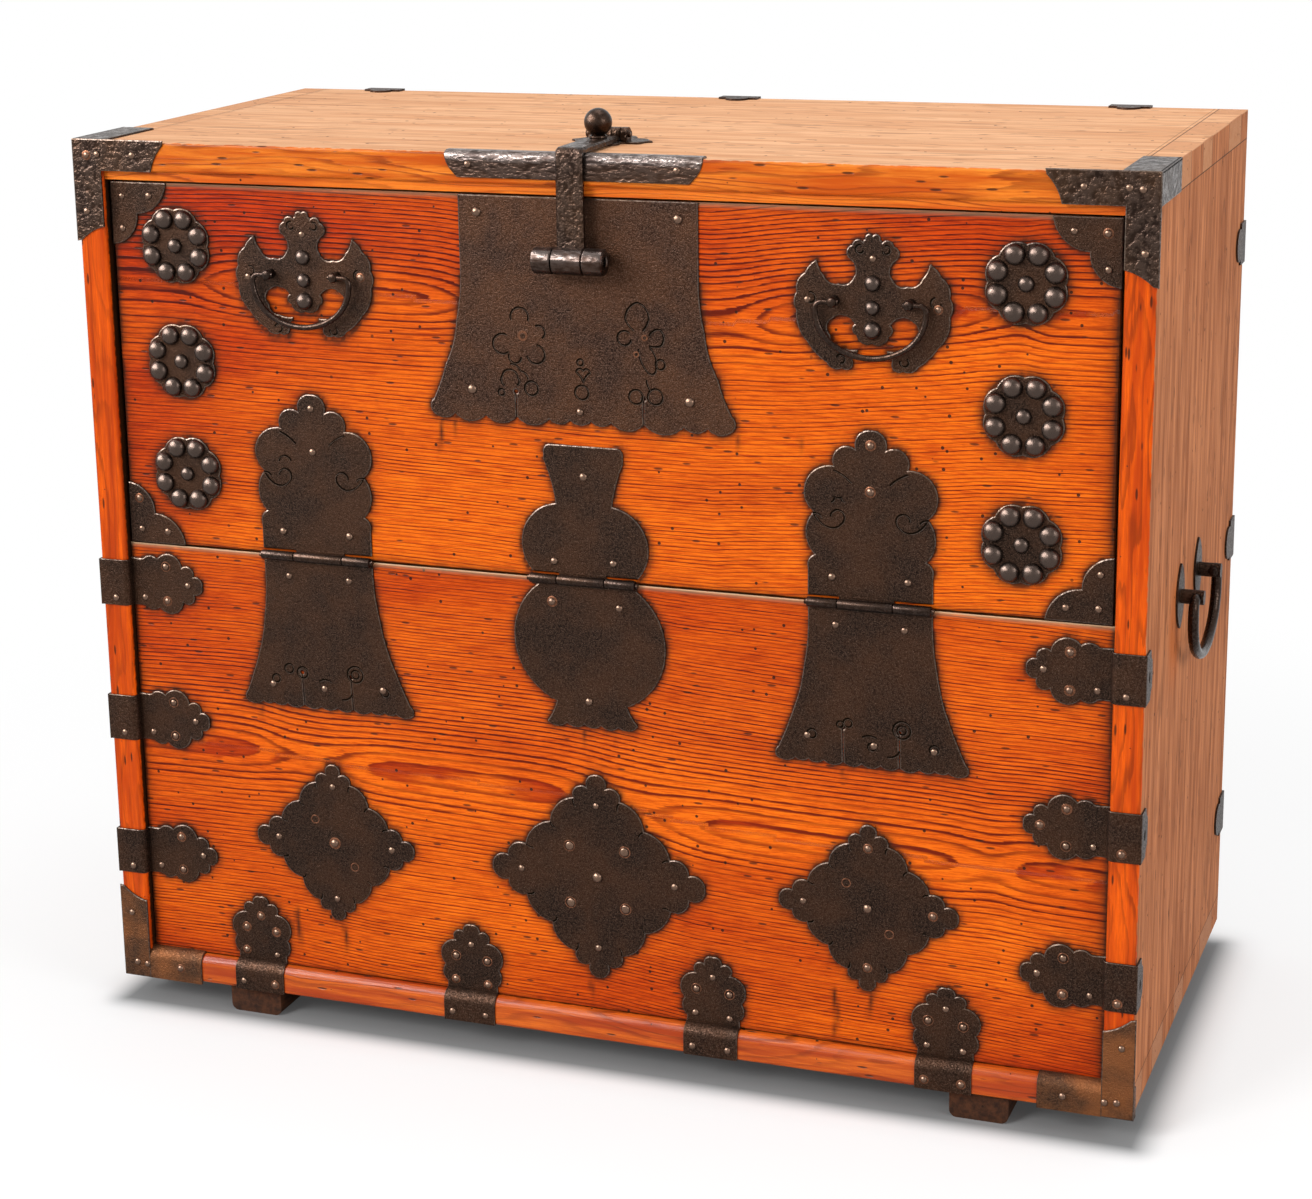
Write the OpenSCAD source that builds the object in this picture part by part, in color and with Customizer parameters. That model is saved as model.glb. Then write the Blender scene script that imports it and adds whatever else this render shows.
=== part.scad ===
// Drop-front chest: a pine case bound in iron. The upper half of its front is a door that folds
// forwards and down on three strap hinges, and a hasp comes over the top edge to lock it.

/* [Case] */
// Width over the side boards
case_w = 1000; // [940:10:1100]
// Depth from the frame's front face to the back
case_d = 470; // [430:10:520]
// Height without the runners
case_h = 826; // [820:2:850]
// Thickness of the top, bottom and side boards, whose front edges are the frame
board_t = 27; // [25:1:29]
// Thickness of the back board
back_t = 12; // [9:1:16]
// How far the door and the lower panel lie behind the frame's face
recess = 10; // [9:0.5:11]
// Thickness of the door and of the lower panel
panel_t = 25; // [22:1:26]
// Height of the runners under the case
runner_h = 28; // [20:1:40]
// Width of a runner
runner_w = 54; // [40:1:64]

/* [Door] */
// Height of the hinge line above the underside of the case
seam_z = 443; // [438:1:448]
// Gap between the door and each post
door_side_gap = 3; // [2:0.5:4]
// Gap between the door and the lower panel
seam_gap = 2; // [1.5:0.5:2.5]
// Height of the strip under the top board
header_h = 8.5; // [7:0.5:10]
// Gap over the door, which its swinging back edge needs
door_top_gap = 2.5; // [2.5:0.5:4]

/* [Ironwork] */
// Thickness of every plate
iron_t = 2; // [1.5:0.5:2]
// Where the smith's centre line lies, to the right of the case's own
centre_x = -7; // [-10:1:10]
// Radius of a small rivet's head
rivet_r = 3.2; // [2.5:0.1:4]
// Height of a small rivet's head
rivet_h = 2; // [1:0.1:2.5]

/* [Hinges] */
// Distance of the outer hinges from the centre line
hinge_x = 266; // [256:1:276]
// Width of an outer hinge at its knuckles
hinge_w = 112; // [104:1:116]
// Radius of the knuckles
knuckle_r = 4.5; // [4:0.1:4.7]
// Radius of the hinge pins
pin_r = 2.5; // [2:0.1:3]

/* [Hasp and lock] */
// Width of the hasp's strap
hasp_w = 25; // [20:1:27]
// Thickness of the hasp's strap
hasp_t = 5; // [4:0.5:6]
// Height of the lock barrel's axis above the underside of the case
lock_z = 735.5; // [725:0.5:745]
// Radius of the lock barrel
barrel_r = 12; // [10:0.5:12]
// Radius of the bore that a padlock's bolt slides through
bolt_r = 5; // [3:0.5:6]
// Distance of the hasp's hinge behind the frame's face
hasp_pivot_y = 92; // [86:1:110]
// Radius of the ball on the hasp
ball_r = 12.5; // [10:0.5:13]

/* [Handles] */
// Distance of the door handles from the centre line
bail_x = 267; // [255:1:275]
// Height of the door handles' pivots above the underside of the case
bail_z = 709; // [700:1:715]
// Radius of a door handle's rod
bail_rod = 2.6; // [2.2:0.1:3]
// Distance of the side handles' middle behind the frame's face
side_bail_y = 208; // [190:1:260]
// Height of the side handles' pivots above the underside of the case
side_bail_z = 430; // [400:1:450]
// Radius of a side handle's rod
side_rod = 4.7; // [4:0.1:5]

/* [Hidden] */
$fn = 96;

red_pine = [0.75, 0.3, 0.1];
bare_pine = [0.78, 0.52, 0.34];
old_oak = [0.36, 0.24, 0.16];
iron = [0.2, 0.17, 0.15];

// The case, in places measured from its front face (y), its middle (x) and its underside (z)
half_w = case_w / 2;
open_half = half_w - board_t;
open_top = case_h - board_t;
panel_back = recess + panel_t;
post_ease = 4;
rail_ease = 9;
outer_ease = 2.5;
finger_shares = [0, 0.1, 0.205, 0.32, 0.45, 0.555, 0.76, 0.915, 1];
runner_x = 362;
runner_inset = 8;
stop_w = 18;
stop_t = 20;
stop_gap = 0.5;
header_face = 5;
header_lip = 24;

// The door
door_half = open_half - door_side_gap;
door_low = seam_z + seam_gap / 2;
door_high = open_top - header_h - door_top_gap;
axis_y = recess - knuckle_r - 0.4;

// The hinges, in heights from the hinge line
knuckle_free = 1;
pin_play = 0.05;
side_knuckles = [-56, -28, 22, 56];
gourd_knuckles = [-51, -24, 22, 51];
foot_lean = [5, 3, 1.9];
gourd_shift = [3, 1.5];

// The hasp
hasp_gap = 1;
arm_y = -iron_t - hasp_gap - hasp_t / 2;
barrel_y = arm_y - 3.5;
arm_ease = 1.5;
strap_low = case_h + iron_t + 0.5;
eye_r = 6;
hasp_pin_r = 3;
pivot_z = strap_low + eye_r;
barrel_split = [14.5, 33.5];
barrel_play = 0.6;
staple_t = 6;
ball_y = 66;

// The object stands on its runners, and the origin is under the middle of its whole box
front_reach = barrel_r - barrel_y;
front = (front_reach - iron_t - case_d) / 2;

// Heights and places of the flat ironwork, from the centre line and the case's underside
function strap_z(side) = side < 0 ? [130, 268, 404] : [121, 259, 400];
strap_h = 45;
strap_len = 76;
bottom_strap_x = [-345, -122, 119, 338];
bottom_strap_w = 52;
bottom_strap_len = 67;
diamond_x = [-268, 0.5, 258.5];
diamond_z = [160.5, 159, 161.5];
small_diamond = [83, 79];
big_diamond = [105, 100];
rosette_x = 398;
function rosette_z(side) = side < 0 ? [514.5, 622, 730.5] : [507.5, 618.5, 730.5];
rosette_ring = 26.5;
stud_r = 8.5;
stud_h = 7.5;
corner_leg = 93;
corner_cut = 14;
corner_tab = 92;
door_corner = 40;
lock_half = 112;
lock_foot = 144;
rail_plate_half = 120;
back_strap_x = [-396, 0, 396];
back_strap_z = [119, 407, 700];
back_strap_w = 40;

bail_y = recess - iron_t - 7;
bail_pin = [28, 42.5];
bail_post_x = 33.25;
bail_bend = 6;
bail_post_r = 4.6;
side_bail_x = half_w + iron_t + 14;
side_pin = [40.5, 55];
side_bend = 9;
side_post_r = 6.5;
side_post_y = 47;
handle_leaf = [60, 36];

function arc(c, r, from, to, n = 6) =
    [for (i = [0:n]) c + r * [cos(from + (to - from) * i / n), sin(from + (to - from) * i / n)]];

function sum_to(v, n) = n <= 0 ? 0 : v[n - 1] + sum_to(v, n - 1);

// Everything below is drawn from the front face, the middle and the underside of the case
module placed() {
    translate([0, front, runner_h]) children();
}

module along_x(length) {
    rotate([90, 0, 90]) linear_extrude(length) children();
}

// A plate whose back lies on the face that is depth behind the frame's
module front_plate(depth, thickness = iron_t) {
    translate([0, depth, 0]) rotate([90, 0, 0]) linear_extrude(thickness) children();
}

// Children on both sides of the centre line, or one of them
module about_centre(side, x) {
    translate([centre_x + side * x, 0, 0]) mirror([side < 0 ? 1 : 0, 0, 0]) children();
}

module mirrored_pair() {
    children();
    mirror([1, 0, 0]) children();
}

// Head of a rivet or stud, a cap of a ball on the plate at depth
module dome(radius, height) {
    ball = (radius * radius + height * height) / (2 * height);
    rotate_extrude() intersection() {
        translate([0, height - ball]) circle(ball);
        square([radius + 1, height + 1]);
    }
}

module head_at(x, z, depth, radius = rivet_r, height = rivet_h) {
    translate([x, depth - iron_t, z]) rotate([90, 0, 0]) dome(radius, height);
}

// Wooden parts

module fingers(first) {
    for (i = [first:2:len(finger_shares) - 2])
        translate([0, finger_shares[i] * case_d, 0])
            square([board_t, (finger_shares[i + 1] - finger_shares[i]) * case_d]);
}

module finger_notches(first) {
    for (side = [0, 1])
        mirror([side, 0, 0])
            translate([open_half, 0, -1]) linear_extrude(board_t + 2) {
                fingers(first);
                translate([board_t, 0]) square([1, 1]);
            }
}

module shelf_board(low_ease, high_ease) {
    difference() {
        translate([-half_w, 0, 0]) along_x(case_w)
            polygon(concat(
                arc([low_ease, low_ease], low_ease, 270, 180),
                arc([high_ease, board_t - high_ease], high_ease, 180, 90),
                [[case_d, board_t], [case_d, 0]]));
        finger_notches(1);
    }
}

module top_board() {
    color(bare_pine) placed() translate([0, 0, open_top]) shelf_board(post_ease, outer_ease);
}

module bottom_board() {
    color(bare_pine) placed() shelf_board(outer_ease, rail_ease);
}

module side_board(side) {
    color(bare_pine) placed() mirror([side < 0 ? 1 : 0, 0, 0]) difference() {
        linear_extrude(case_h)
            polygon(concat(
                arc([half_w - outer_ease, outer_ease], outer_ease, 0, -90),
                arc([open_half + post_ease, post_ease], post_ease, 270, 180),
                [[open_half, case_d], [half_w, case_d]]));
        for (z = [-1, open_top])
            translate([open_half - 1, 0, z]) linear_extrude(board_t + 1) {
                translate([1, 0]) fingers(0);
                square([1, case_d]);
                translate([board_t + 1, 0]) square([1, case_d]);
                translate([0, -1]) square([board_t + 2, 1]);
            }
    }
}

module back_board() {
    color(bare_pine) placed()
        translate([-open_half, case_d - back_t, board_t]) cube([2 * open_half, back_t, open_top - board_t]);
}

module lower_front_panel() {
    color(red_pine) placed()
        translate([-open_half, recess, board_t])
            cube([2 * open_half, panel_t, seam_z - seam_gap / 2 - board_t]);
}

module header_rail() {
    color(red_pine) placed()
        translate([-open_half, header_face, open_top - header_h])
            cube([2 * open_half, panel_back + stop_gap - header_face, header_h]);
}

// What the door closes against, behind it at the top and at both sides
module top_door_stop() {
    color(bare_pine) placed()
        translate([-open_half, panel_back + stop_gap, open_top - header_lip])
            cube([2 * open_half, stop_t - stop_gap, header_lip]);
}

module side_door_stops() {
    low = seam_z - 60;
    color(bare_pine) placed() mirrored_pair()
        translate([open_half - stop_w, panel_back + stop_gap, low])
            cube([stop_w, stop_t - stop_gap, open_top - header_lip - low]);
}

module runner(side) {
    ease = 7;
    color(old_oak) placed()
        translate([side * runner_x - runner_w / 2, case_d - runner_inset, -runner_h])
            rotate([90, 0, 0]) linear_extrude(case_d - 2 * runner_inset)
                polygon(concat(
                    arc([ease, ease], ease, 180, 270),
                    arc([runner_w - ease, ease], ease, 270, 360),
                    [[runner_w, runner_h], [0, runner_h]]));
}

module door_panel() {
    color(red_pine) placed()
        translate([-door_half, recess, door_low]) cube([2 * door_half, panel_t, door_high - door_low]);
}

// Outlines of the flat ironwork

// A band's end: a round tip over pairs of lobes, along +y from a base on y = 0
module cloud_head(length, base_half, lobe_half) {
    tip = 0.115 * length;
    big = 0.215 * length;
    low = 0.17 * length;
    translate([-base_half, 0]) square([2 * base_half, 0.3 * length]);
    translate([-0.55 * lobe_half, 0]) square([1.1 * lobe_half, 0.8 * length]);
    translate([0, length - tip]) circle(tip);
    mirrored_pair() {
        translate([0.17 * length, 0.775 * length]) circle(0.11 * length);
        translate([lobe_half - big, 0.55 * length]) circle(big);
        translate([0.9 * lobe_half - low, 0.24 * length]) circle(low);
    }
}

// A row of lobes along y = 0, centred on x = 0
module scallops(widths) {
    total = sum_to(widths, len(widths));
    for (i = [0:len(widths) - 1])
        translate([sum_to(widths, i) + widths[i] / 2 - total / 2, 0.3 * widths[i]]) circle(0.583 * widths[i]);
}

// A plate that hangs from y = 0, straight at first and then flaring in an arc
module skirt(top_half, foot_half, drop, flare) {
    grow = foot_half - top_half;
    r = (grow * grow + flare * flare) / (2 * grow);
    difference() {
        translate([-foot_half, -drop]) square([2 * foot_half, drop]);
        mirrored_pair() {
            translate([top_half + r, flare - drop]) circle(r, $fn = 256);
            translate([top_half, flare - drop]) square([grow + 1, drop]);
        }
    }
}

module slit(x, foot, top) {
    translate([x - 0.7, foot - 6]) square([1.4, top - foot + 6]);
    translate([x, top]) circle(2.4);
}

module diamond_outline(half) {
    function at(u, v) = [u * half[0], v * half[1]];
    size = (half[0] + half[1]) / 2;
    polygon([at(0.72, 0), at(0, 0.72), at(-0.72, 0), at(0, -0.72)]);
    for (u = [-1, 1]) {
        translate(at(0.905 * u, 0)) circle(0.093 * size);
        translate(at(0, 0.905 * u)) circle(0.093 * size);
        for (v = [-1, 1]) {
            translate(at(0.2 * u, 0.395 * v)) circle(0.29 * size);
            translate(at(0.395 * u, 0.2 * v)) circle(0.29 * size);
            translate(at(0.16 * u, 0.73 * v)) circle(0.105 * size);
            translate(at(0.73 * u, 0.16 * v)) circle(0.105 * size);
        }
        translate(at(0.76 * u, 0)) square(0.28 * size, center = true);
        translate(at(0, 0.76 * u)) square(0.28 * size, center = true);
    }
}

// Upper leaf of an outer hinge, from the hinge line up
module cloud_leaf_outline() {
    translate([-hinge_w / 2, 0]) square([hinge_w, 44]);
    translate([-41, 0]) square([82, 104]);
    translate([-24, 60]) square([48, 72]);
    translate([0, 142]) circle(13);
    mirrored_pair() {
        translate([23.5, 129]) circle(11);
        translate([35, 95]) circle(24);
        translate([39, 60]) circle(18.5);
    }
}

// Lower leaf of an outer hinge, from the hinge line down
module bell_leaf_outline() {
    drop = 146;
    difference() {
        union() {
            skirt(hinge_w / 2, 87, drop, 100);
            translate([0, -drop]) scallops([18, 12, 14, 18, 17, 17, 17, 18, 14, 12, 18]);
        }
        for (x = [-25.5, 25.5]) slit(x, -drop - 6, -drop + 30);
    }
}

module gourd_top_outline() {
    neck_half = 25.5;
    top_half = 37.5;
    polygon([
        [-neck_half, 60], [-neck_half, 72], [-top_half, 108], [-top_half, 116], [-top_half + 7, 123],
        [top_half - 7, 123], [top_half, 116], [top_half, 108], [neck_half, 72], [neck_half, 60]]);
    translate([-51, 0]) square([102, 16]);
    translate([-30, 0]) square([60, 66]);
    mirrored_pair() translate([17.5, 29]) circle(43);
}

module gourd_foot_outline() {
    translate([-51, -16]) square([102, 16]);
    translate([0, -52.5]) circle(71.5);
    polygon([[-30, -100], [-33, -116], [-44, -128], [-40, -133], [40, -133], [44, -128], [33, -116], [30, -100]]);
    translate([0, -131]) scallops([12, 13, 14, 14, 13, 12]);
}

module lock_plate_outline() {
    drop = 198;
    difference() {
        union() {
            skirt(lock_half, lock_foot, drop, 111);
            translate([0, -drop]) scallops([22, 30, 30, 31, 20, 20, 19, 31, 36, 22, 24]);
        }
        for (x = [-60.5, 60.5]) slit(x, -drop - 8, -drop + 21);
    }
}

// Two lobes about the corner of the door at the origin, growing along +x and +y
module door_corner_outline() {
    intersection() {
        square(60);
        union() {
            square(0.75 * door_corner);
            translate([door_corner, 8]) circle(19);
            translate([8, door_corner]) circle(19);
        }
    }
}

module rosette_outline() {
    circle(rosette_ring);
    for (i = [0:7]) rotate(22.5 + 45 * i) translate([rosette_ring, 0]) circle(stud_r + 1.5);
}

// The back plate of a door handle: a bat with spread wings, from the line through its two posts
module bat_outline() {
    difference() {
        union() {
            mirrored_pair() translate([8, -4]) circle(60);
            translate([-15, 0]) square([30, 44]);
        }
        mirrored_pair() {
            translate([32, 34]) circle(18.5);
            translate([15, 34]) square([60, 40]);
        }
        translate([-15, 44]) square([30, 20]);
        difference() {
            intersection() {
                translate([0, -22]) circle(36);
                translate([-40, -70]) square([80, 58]);
            }
            translate([-11, -24]) square([22, 20]);
            translate([0, -24]) circle(10.5);
        }
        translate([-22, -70]) square([44, 32]);
    }
    translate([0, 49]) circle(7.5);
    mirrored_pair() {
        translate([28.5, -47]) circle(9);
        translate([12.5, 41]) circle(6.5);
    }
}

// Ironwork on the case

// A sheet over the bottom rail's rounded edge, drawn as y and z
module rail_sheet_section() {
    turn = [rail_ease, board_t - rail_ease];
    polygon(concat(
        [[0, 0], [-iron_t, 0]],
        arc(turn, rail_ease + iron_t, 180, 90),
        [[recess, board_t + iron_t], [recess, board_t]],
        arc(turn, rail_ease, 90, 180)));
}

// An L on the front at the origin's corner, with tabs on the two outer faces. At the bottom its lower
// leg follows the rail's rounded edge.
module corner_iron_solid(tab, turned) {
    reach = corner_leg - corner_cut;
    front_plate(0) polygon([
        [-iron_t, -iron_t], [turned ? board_t : corner_leg, -iron_t], [turned ? board_t : corner_leg, 0],
        [turned ? board_t : reach, board_t], [board_t, board_t], [board_t, reach], [0, corner_leg],
        [-iron_t, corner_leg]]);
    if (turned) difference() {
        translate([board_t, 0, 0]) along_x(corner_leg - board_t) rail_sheet_section();
        translate([0, 40, 0]) rotate([90, 0, 0]) linear_extrude(80)
            polygon([[corner_leg, 0], [corner_leg, -9], [corner_leg + 9, -9], [corner_leg + 9, 40], [reach, 40],
                [reach, board_t]]);
    }
    translate([-iron_t, -iron_t, -iron_t]) {
        cube([iron_t, tab + iron_t, board_t]);
        cube([board_t + 4, tab + iron_t, iron_t]);
    }
    translate([-iron_t, -iron_t, 0]) cube([iron_t, 8, corner_leg - 1]);
    translate([0, -iron_t, -iron_t]) cube([corner_leg - 1, 8, iron_t]);
}

module corner_iron(side, top) {
    color(iron) placed()
        translate([side * half_w, 0, top ? case_h : 0])
            mirror([side > 0 ? 1 : 0, 0, 0]) mirror([0, 0, top ? 1 : 0])
                corner_iron_solid(top ? corner_tab : 8, !top);
}

// A strap over the post: a leaf on the side, a band round the post and a cloud head on the panel
module side_strap(side, level) {
    turn_r = post_ease + iron_t;
    turn = [board_t - post_ease, post_ease];
    color(iron) placed()
        translate([side * half_w, 0, strap_z(side)[level]]) mirror([side > 0 ? 1 : 0, 0, 0]) {
            translate([0, 0, -strap_h / 2]) linear_extrude(strap_h)
                polygon(concat(
                    [[-iron_t, 0], [-iron_t, -iron_t]],
                    arc(turn, turn_r, 270, 360),
                    [[board_t + iron_t, recess], [board_t, recess]],
                    arc(turn, post_ease, 360, 270),
                    [[0, 0]]));
            translate([board_t, 0, 0]) front_plate(recess) rotate(-90)
                cloud_head(strap_len, strap_h / 2, 30);
            translate([-iron_t, -iron_t, 0]) rotate([90, 0, 90]) linear_extrude(iron_t) intersection() {
                translate([14, 0]) circle(28);
                translate([0, -strap_h / 2]) square([60, strap_h]);
            }
        }
}

// A strap over the bottom rail, with a cloud head on the panel
module bottom_strap(place) {
    color(iron) placed() translate([centre_x + bottom_strap_x[place], 0, 0]) {
        translate([-bottom_strap_w / 2, 0, 0]) along_x(bottom_strap_w) rail_sheet_section();
        translate([0, 0, board_t]) front_plate(recess)
            cloud_head(bottom_strap_len, bottom_strap_w / 2, 31.5);
    }
}

module top_rail_plate() {
    low = 5.5;
    color(iron) placed() translate([centre_x, 0, open_top]) {
        front_plate(0) polygon([
            [-rail_plate_half, board_t + iron_t], [-rail_plate_half, board_t], [12 - rail_plate_half, low],
            [rail_plate_half - 12, low], [rail_plate_half, board_t], [rail_plate_half, board_t + iron_t]]);
        translate([-rail_plate_half, -iron_t, board_t]) cube([2 * rail_plate_half, 12, iron_t]);
    }
}

module diamond_plate(side) {
    color(iron) placed() translate([diamond_x[side + 1], 0, diamond_z[side + 1]])
        front_plate(recess) diamond_outline(side == 0 ? big_diamond : small_diamond);
}

// Four lobes round the hasp's hinge, flat on the top board
module hasp_base_plate() {
    color(iron) placed() translate([centre_x, hasp_pivot_y + 8, case_h]) linear_extrude(iron_t) {
        circle(24);
        for (i = [0:3]) rotate(90 * i) translate([22, 0]) circle(15);
    }
}

// Two ears and the pin that the hasp turns on
module hasp_staple() {
    inner = hasp_w / 2 + barrel_play;
    color(iron) placed() translate([centre_x, hasp_pivot_y, 0]) {
        for (x = [-inner - staple_t, inner])
            translate([x, 0, 0]) along_x(staple_t) {
                translate([0, pivot_z]) circle(eye_r);
                translate([-eye_r, case_h + iron_t]) square([2 * eye_r, pivot_z - case_h - iron_t]);
            }
        translate([-inner - staple_t - 2, 0, pivot_z]) rotate([0, 90, 0])
            cylinder(h = 2 * (inner + staple_t + 2), r = hasp_pin_r);
    }
}

// A knuckle of a hinge between two places along the hinge line
module knuckle(from, to) {
    translate([from + knuckle_free / 4, axis_y, seam_z]) rotate([0, 90, 0])
        cylinder(h = to - from - knuckle_free / 2, r = knuckle_r);
}

module pin_bore(r, reach) {
    translate([-reach, axis_y, seam_z]) rotate([0, 90, 0]) cylinder(h = 2 * reach, r = r);
}

// Moves the foot of a hanging outline to the right by lean
module leaning(lean) {
    multmatrix([[1, -lean / 146, 0, 0], [0, 1, 0, 0], [0, 0, 1, 0], [0, 0, 0, 1]]) children();
}

// The upper leaf carries the middle knuckle, and the lower leaf the outer two
module hinge_leaf(places, upper) {
    clear = knuckle_r + knuckle_free;
    spans = upper ? [[places[1], places[2]]] : [[places[0], places[1]], [places[2], places[3]]];
    difference() {
        union() {
            difference() {
                translate([0, 0, seam_z]) front_plate(recess) children();
                translate([-100, 0, seam_z - (upper ? 60 : clear)])
                    cube([200, recess + 1, clear + 60]);
            }
            for (span = spans) {
                translate([span[0] + knuckle_free / 4, recess - iron_t, seam_z - (upper ? 0 : clear + 1)])
                    cube([span[1] - span[0] - knuckle_free / 2, iron_t, clear + 1]);
                knuckle(span[0], span[1]);
            }
        }
        pin_bore(pin_r + pin_play, 100);
    }
}

module lower_leaf(side) {
    color(iron) placed() about_centre(side, side == 0 ? 0 : hinge_x)
        if (side == 0) {
            hinge_leaf(gourd_knuckles, false) translate([gourd_shift[0], 0])
                leaning(foot_lean[1]) gourd_foot_outline();
        } else {
            hinge_leaf(side_knuckles, false) leaning(side * foot_lean[side + 1]) bell_leaf_outline();
        }
}

module upper_leaf(side) {
    color(iron) placed() about_centre(side, side == 0 ? 0 : hinge_x)
        if (side == 0) {
            hinge_leaf(gourd_knuckles, true) translate([gourd_shift[1], 0]) gourd_top_outline();
        } else {
            hinge_leaf(side_knuckles, true) cloud_leaf_outline();
        }
}

module hinge_pins() {
    color(iron) placed()
        for (x = [-hinge_x, 0, hinge_x])
            translate([centre_x + x, 0, 0]) pin_bore(pin_r, 2 + (x == 0 ? 51 : 56));
}

// Straps over the back edges of the top and the sides
module back_straps() {
    module tongue(reach) {
        tip = min(0.4 * back_strap_w, 0.45 * reach);
        translate([-back_strap_w / 2, 0]) square([back_strap_w, reach / 2]);
        translate([0, reach - tip]) circle(tip);
    }
    color(iron) placed() {
        for (x = back_strap_x)
            translate([centre_x + x, case_d, case_h]) {
                linear_extrude(iron_t) rotate(180) tongue(26);
                rotate([90, 0, 180]) linear_extrude(iron_t) rotate(180) tongue(60);
                translate([-back_strap_w / 2, 0, 0]) cube([back_strap_w, iron_t, iron_t]);
            }
        for (side = [-1, 1], z = back_strap_z)
            translate([side * half_w, case_d, z]) mirror([side < 0 ? 1 : 0, 0, 0]) {
                rotate([90, 0, 90]) linear_extrude(iron_t) rotate(90) tongue(46);
                translate([0, iron_t, 0]) rotate([90, 0, 0]) linear_extrude(iron_t) rotate(90) tongue(60);
                translate([0, 0, -back_strap_w / 2]) cube([iron_t, iron_t, back_strap_w]);
            }
    }
}

// The two leaves of a side handle, each with the post that holds one end of the handle
module handle_plates(side) {
    post = side_bail_x + side_post_r - half_w - iron_t;
    color(iron) placed() mirror([side < 0 ? 1 : 0, 0, 0])
        translate([half_w, side_bail_y, side_bail_z])
            for (end = [-1, 1])
                translate([0, end * side_post_y, 0]) {
                    rotate([90, 0, 90]) linear_extrude(iron_t) leaf_outline(handle_leaf);
                    difference() {
                        translate([iron_t, 0, 0]) rotate([0, 90, 0]) cylinder(h = post, r = side_post_r);
                        translate([side_bail_x - half_w, -20, 0]) rotate([-90, 0, 0])
                            cylinder(h = 40, r = side_rod + 2 * pin_play);
                    }
                }
}

// A pointed leaf, tall in y
module leaf_outline(size) {
    r = (size[0] * size[0] + size[1] * size[1]) / (4 * size[1]);
    intersection() {
        translate([r - size[1] / 2, 0]) circle(r);
        translate([size[1] / 2 - r, 0]) circle(r);
    }
}

module case_rivets() {
    color(iron) placed() {
        for (side = [-1, 1]) {
            for (z = strap_z(side))
                for (spot = [[14, -15], [38, -17], [38, 17], [61, 0]])
                    head_at(side * (open_half - spot[0]), z + spot[1], recess);
            for (z = strap_z(side)) head_at(side * (open_half + 12), z - 15, 0);
            for (spot = [[13, 13], [24, 12], [61, 12], [10, 65]])
                for (top = [0, 1])
                    head_at(side * (half_w - spot[0]), top * case_h + (1 - 2 * top) * spot[1], 0);
            about_centre(side, hinge_x)
                for (spot = [[-31, -20], [31, -20], [-58, -124], [3, -128], [57, -128]])
                    head_at(spot[0] - side * foot_lean[side + 1] * spot[1] / 146, seam_z + spot[1], recess);
            translate([diamond_x[side + 1], 0, diamond_z[side + 1]]) {
                head_at(0, 0, recess, 4.2, 3);
                for (u = [-1, 1]) {
                    head_at(0.72 * u * small_diamond[0], 0, recess);
                    head_at(0, 0.72 * u * small_diamond[1], recess);
                }
            }
            head_at(centre_x + side * 97, open_top + 17, 0);
        }
        for (x = bottom_strap_x)
            translate([centre_x + x, 0, 0]) {
                for (spot = [[0, 75], [-16, 62], [16, 60], [-17, 38], [16, 36]])
                    head_at(spot[0], spot[1], recess);
                for (u = [-17, 17]) head_at(u, 9, 0);
            }
        translate([diamond_x[1], 0, diamond_z[1]]) {
            head_at(0, 0, recess, 5, 3.5);
            for (u = [-1, 1]) {
                head_at(0.72 * u * big_diamond[0], 0, recess);
                head_at(0, 0.7 * u * big_diamond[1], recess);
                for (v = [-1, 1]) head_at(27 * u, 28 * v, recess, 4, 1.2);
            }
        }
        translate([centre_x, 0, 0])
            for (spot = [[-31, -22], [34, -23], [3, -114]])
                head_at(spot[0], seam_z + spot[1], recess, 3.6, 2.4);
    }
}

// Ironwork on the door

module lock_plate() {
    color(iron) placed() translate([centre_x, 0, door_high]) front_plate(recess) lock_plate_outline();
}

// The two outer parts of the lock barrel, on necks that stand out of the lock plate
module lock_eyes() {
    color(iron) placed() translate([centre_x, 0, lock_z]) difference() {
        for (side = [0, 1]) mirror([side, 0, 0]) translate([barrel_split[0], 0, 0]) {
            length = barrel_split[1] - barrel_split[0];
            translate([0, barrel_y, 0]) rotate([0, 90, 0]) cylinder(h = length, r = barrel_r);
            translate([4, barrel_y, -6]) cube([length - 8, recess - iron_t - barrel_y, 12]);
        }
        translate([-50, barrel_y, 0]) rotate([0, 90, 0]) cylinder(h = 100, r = bolt_r);
    }
}

module door_corner_plate(side, top) {
    color(iron) placed()
        translate([side * door_half, 0, top ? door_high : door_low])
            mirror([side > 0 ? 1 : 0, 0, 0]) mirror([0, 0, top ? 1 : 0])
                front_plate(recess) door_corner_outline();
}

module rosettes(side) {
    color(iron) placed() about_centre(side, rosette_x)
        for (z = rosette_z(side))
            translate([0, 0, z]) {
                front_plate(recess) rosette_outline();
                head_at(0, 0, recess, 7, 6);
                for (i = [0:7]) {
                    a = 22.5 + 45 * i;
                    head_at(rosette_ring * cos(a), rosette_ring * sin(a), recess, stud_r, stud_h);
                }
            }
}

// The bat, its three studs and the two posts that the handle turns in
module bail_plate(side) {
    color(iron) placed() about_centre(side, bail_x) translate([0, 0, bail_z]) {
        front_plate(recess) bat_outline();
        head_at(0, 16, recess, 7, 6);
        head_at(0, -5, recess, 6.5, 6);
        head_at(0, -24, recess, 8, 7);
        for (u = [-1, 1])
            translate([u * bail_post_x, 0, 0]) difference() {
                translate([0, recess - iron_t, 0]) rotate([90, 0, 0]) cylinder(h = 11, r = bail_post_r);
                translate([-20, bail_y, 0]) rotate([0, 90, 0]) cylinder(h = 40, r = bail_rod - 0.3 + pin_play);
            }
    }
}

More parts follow.
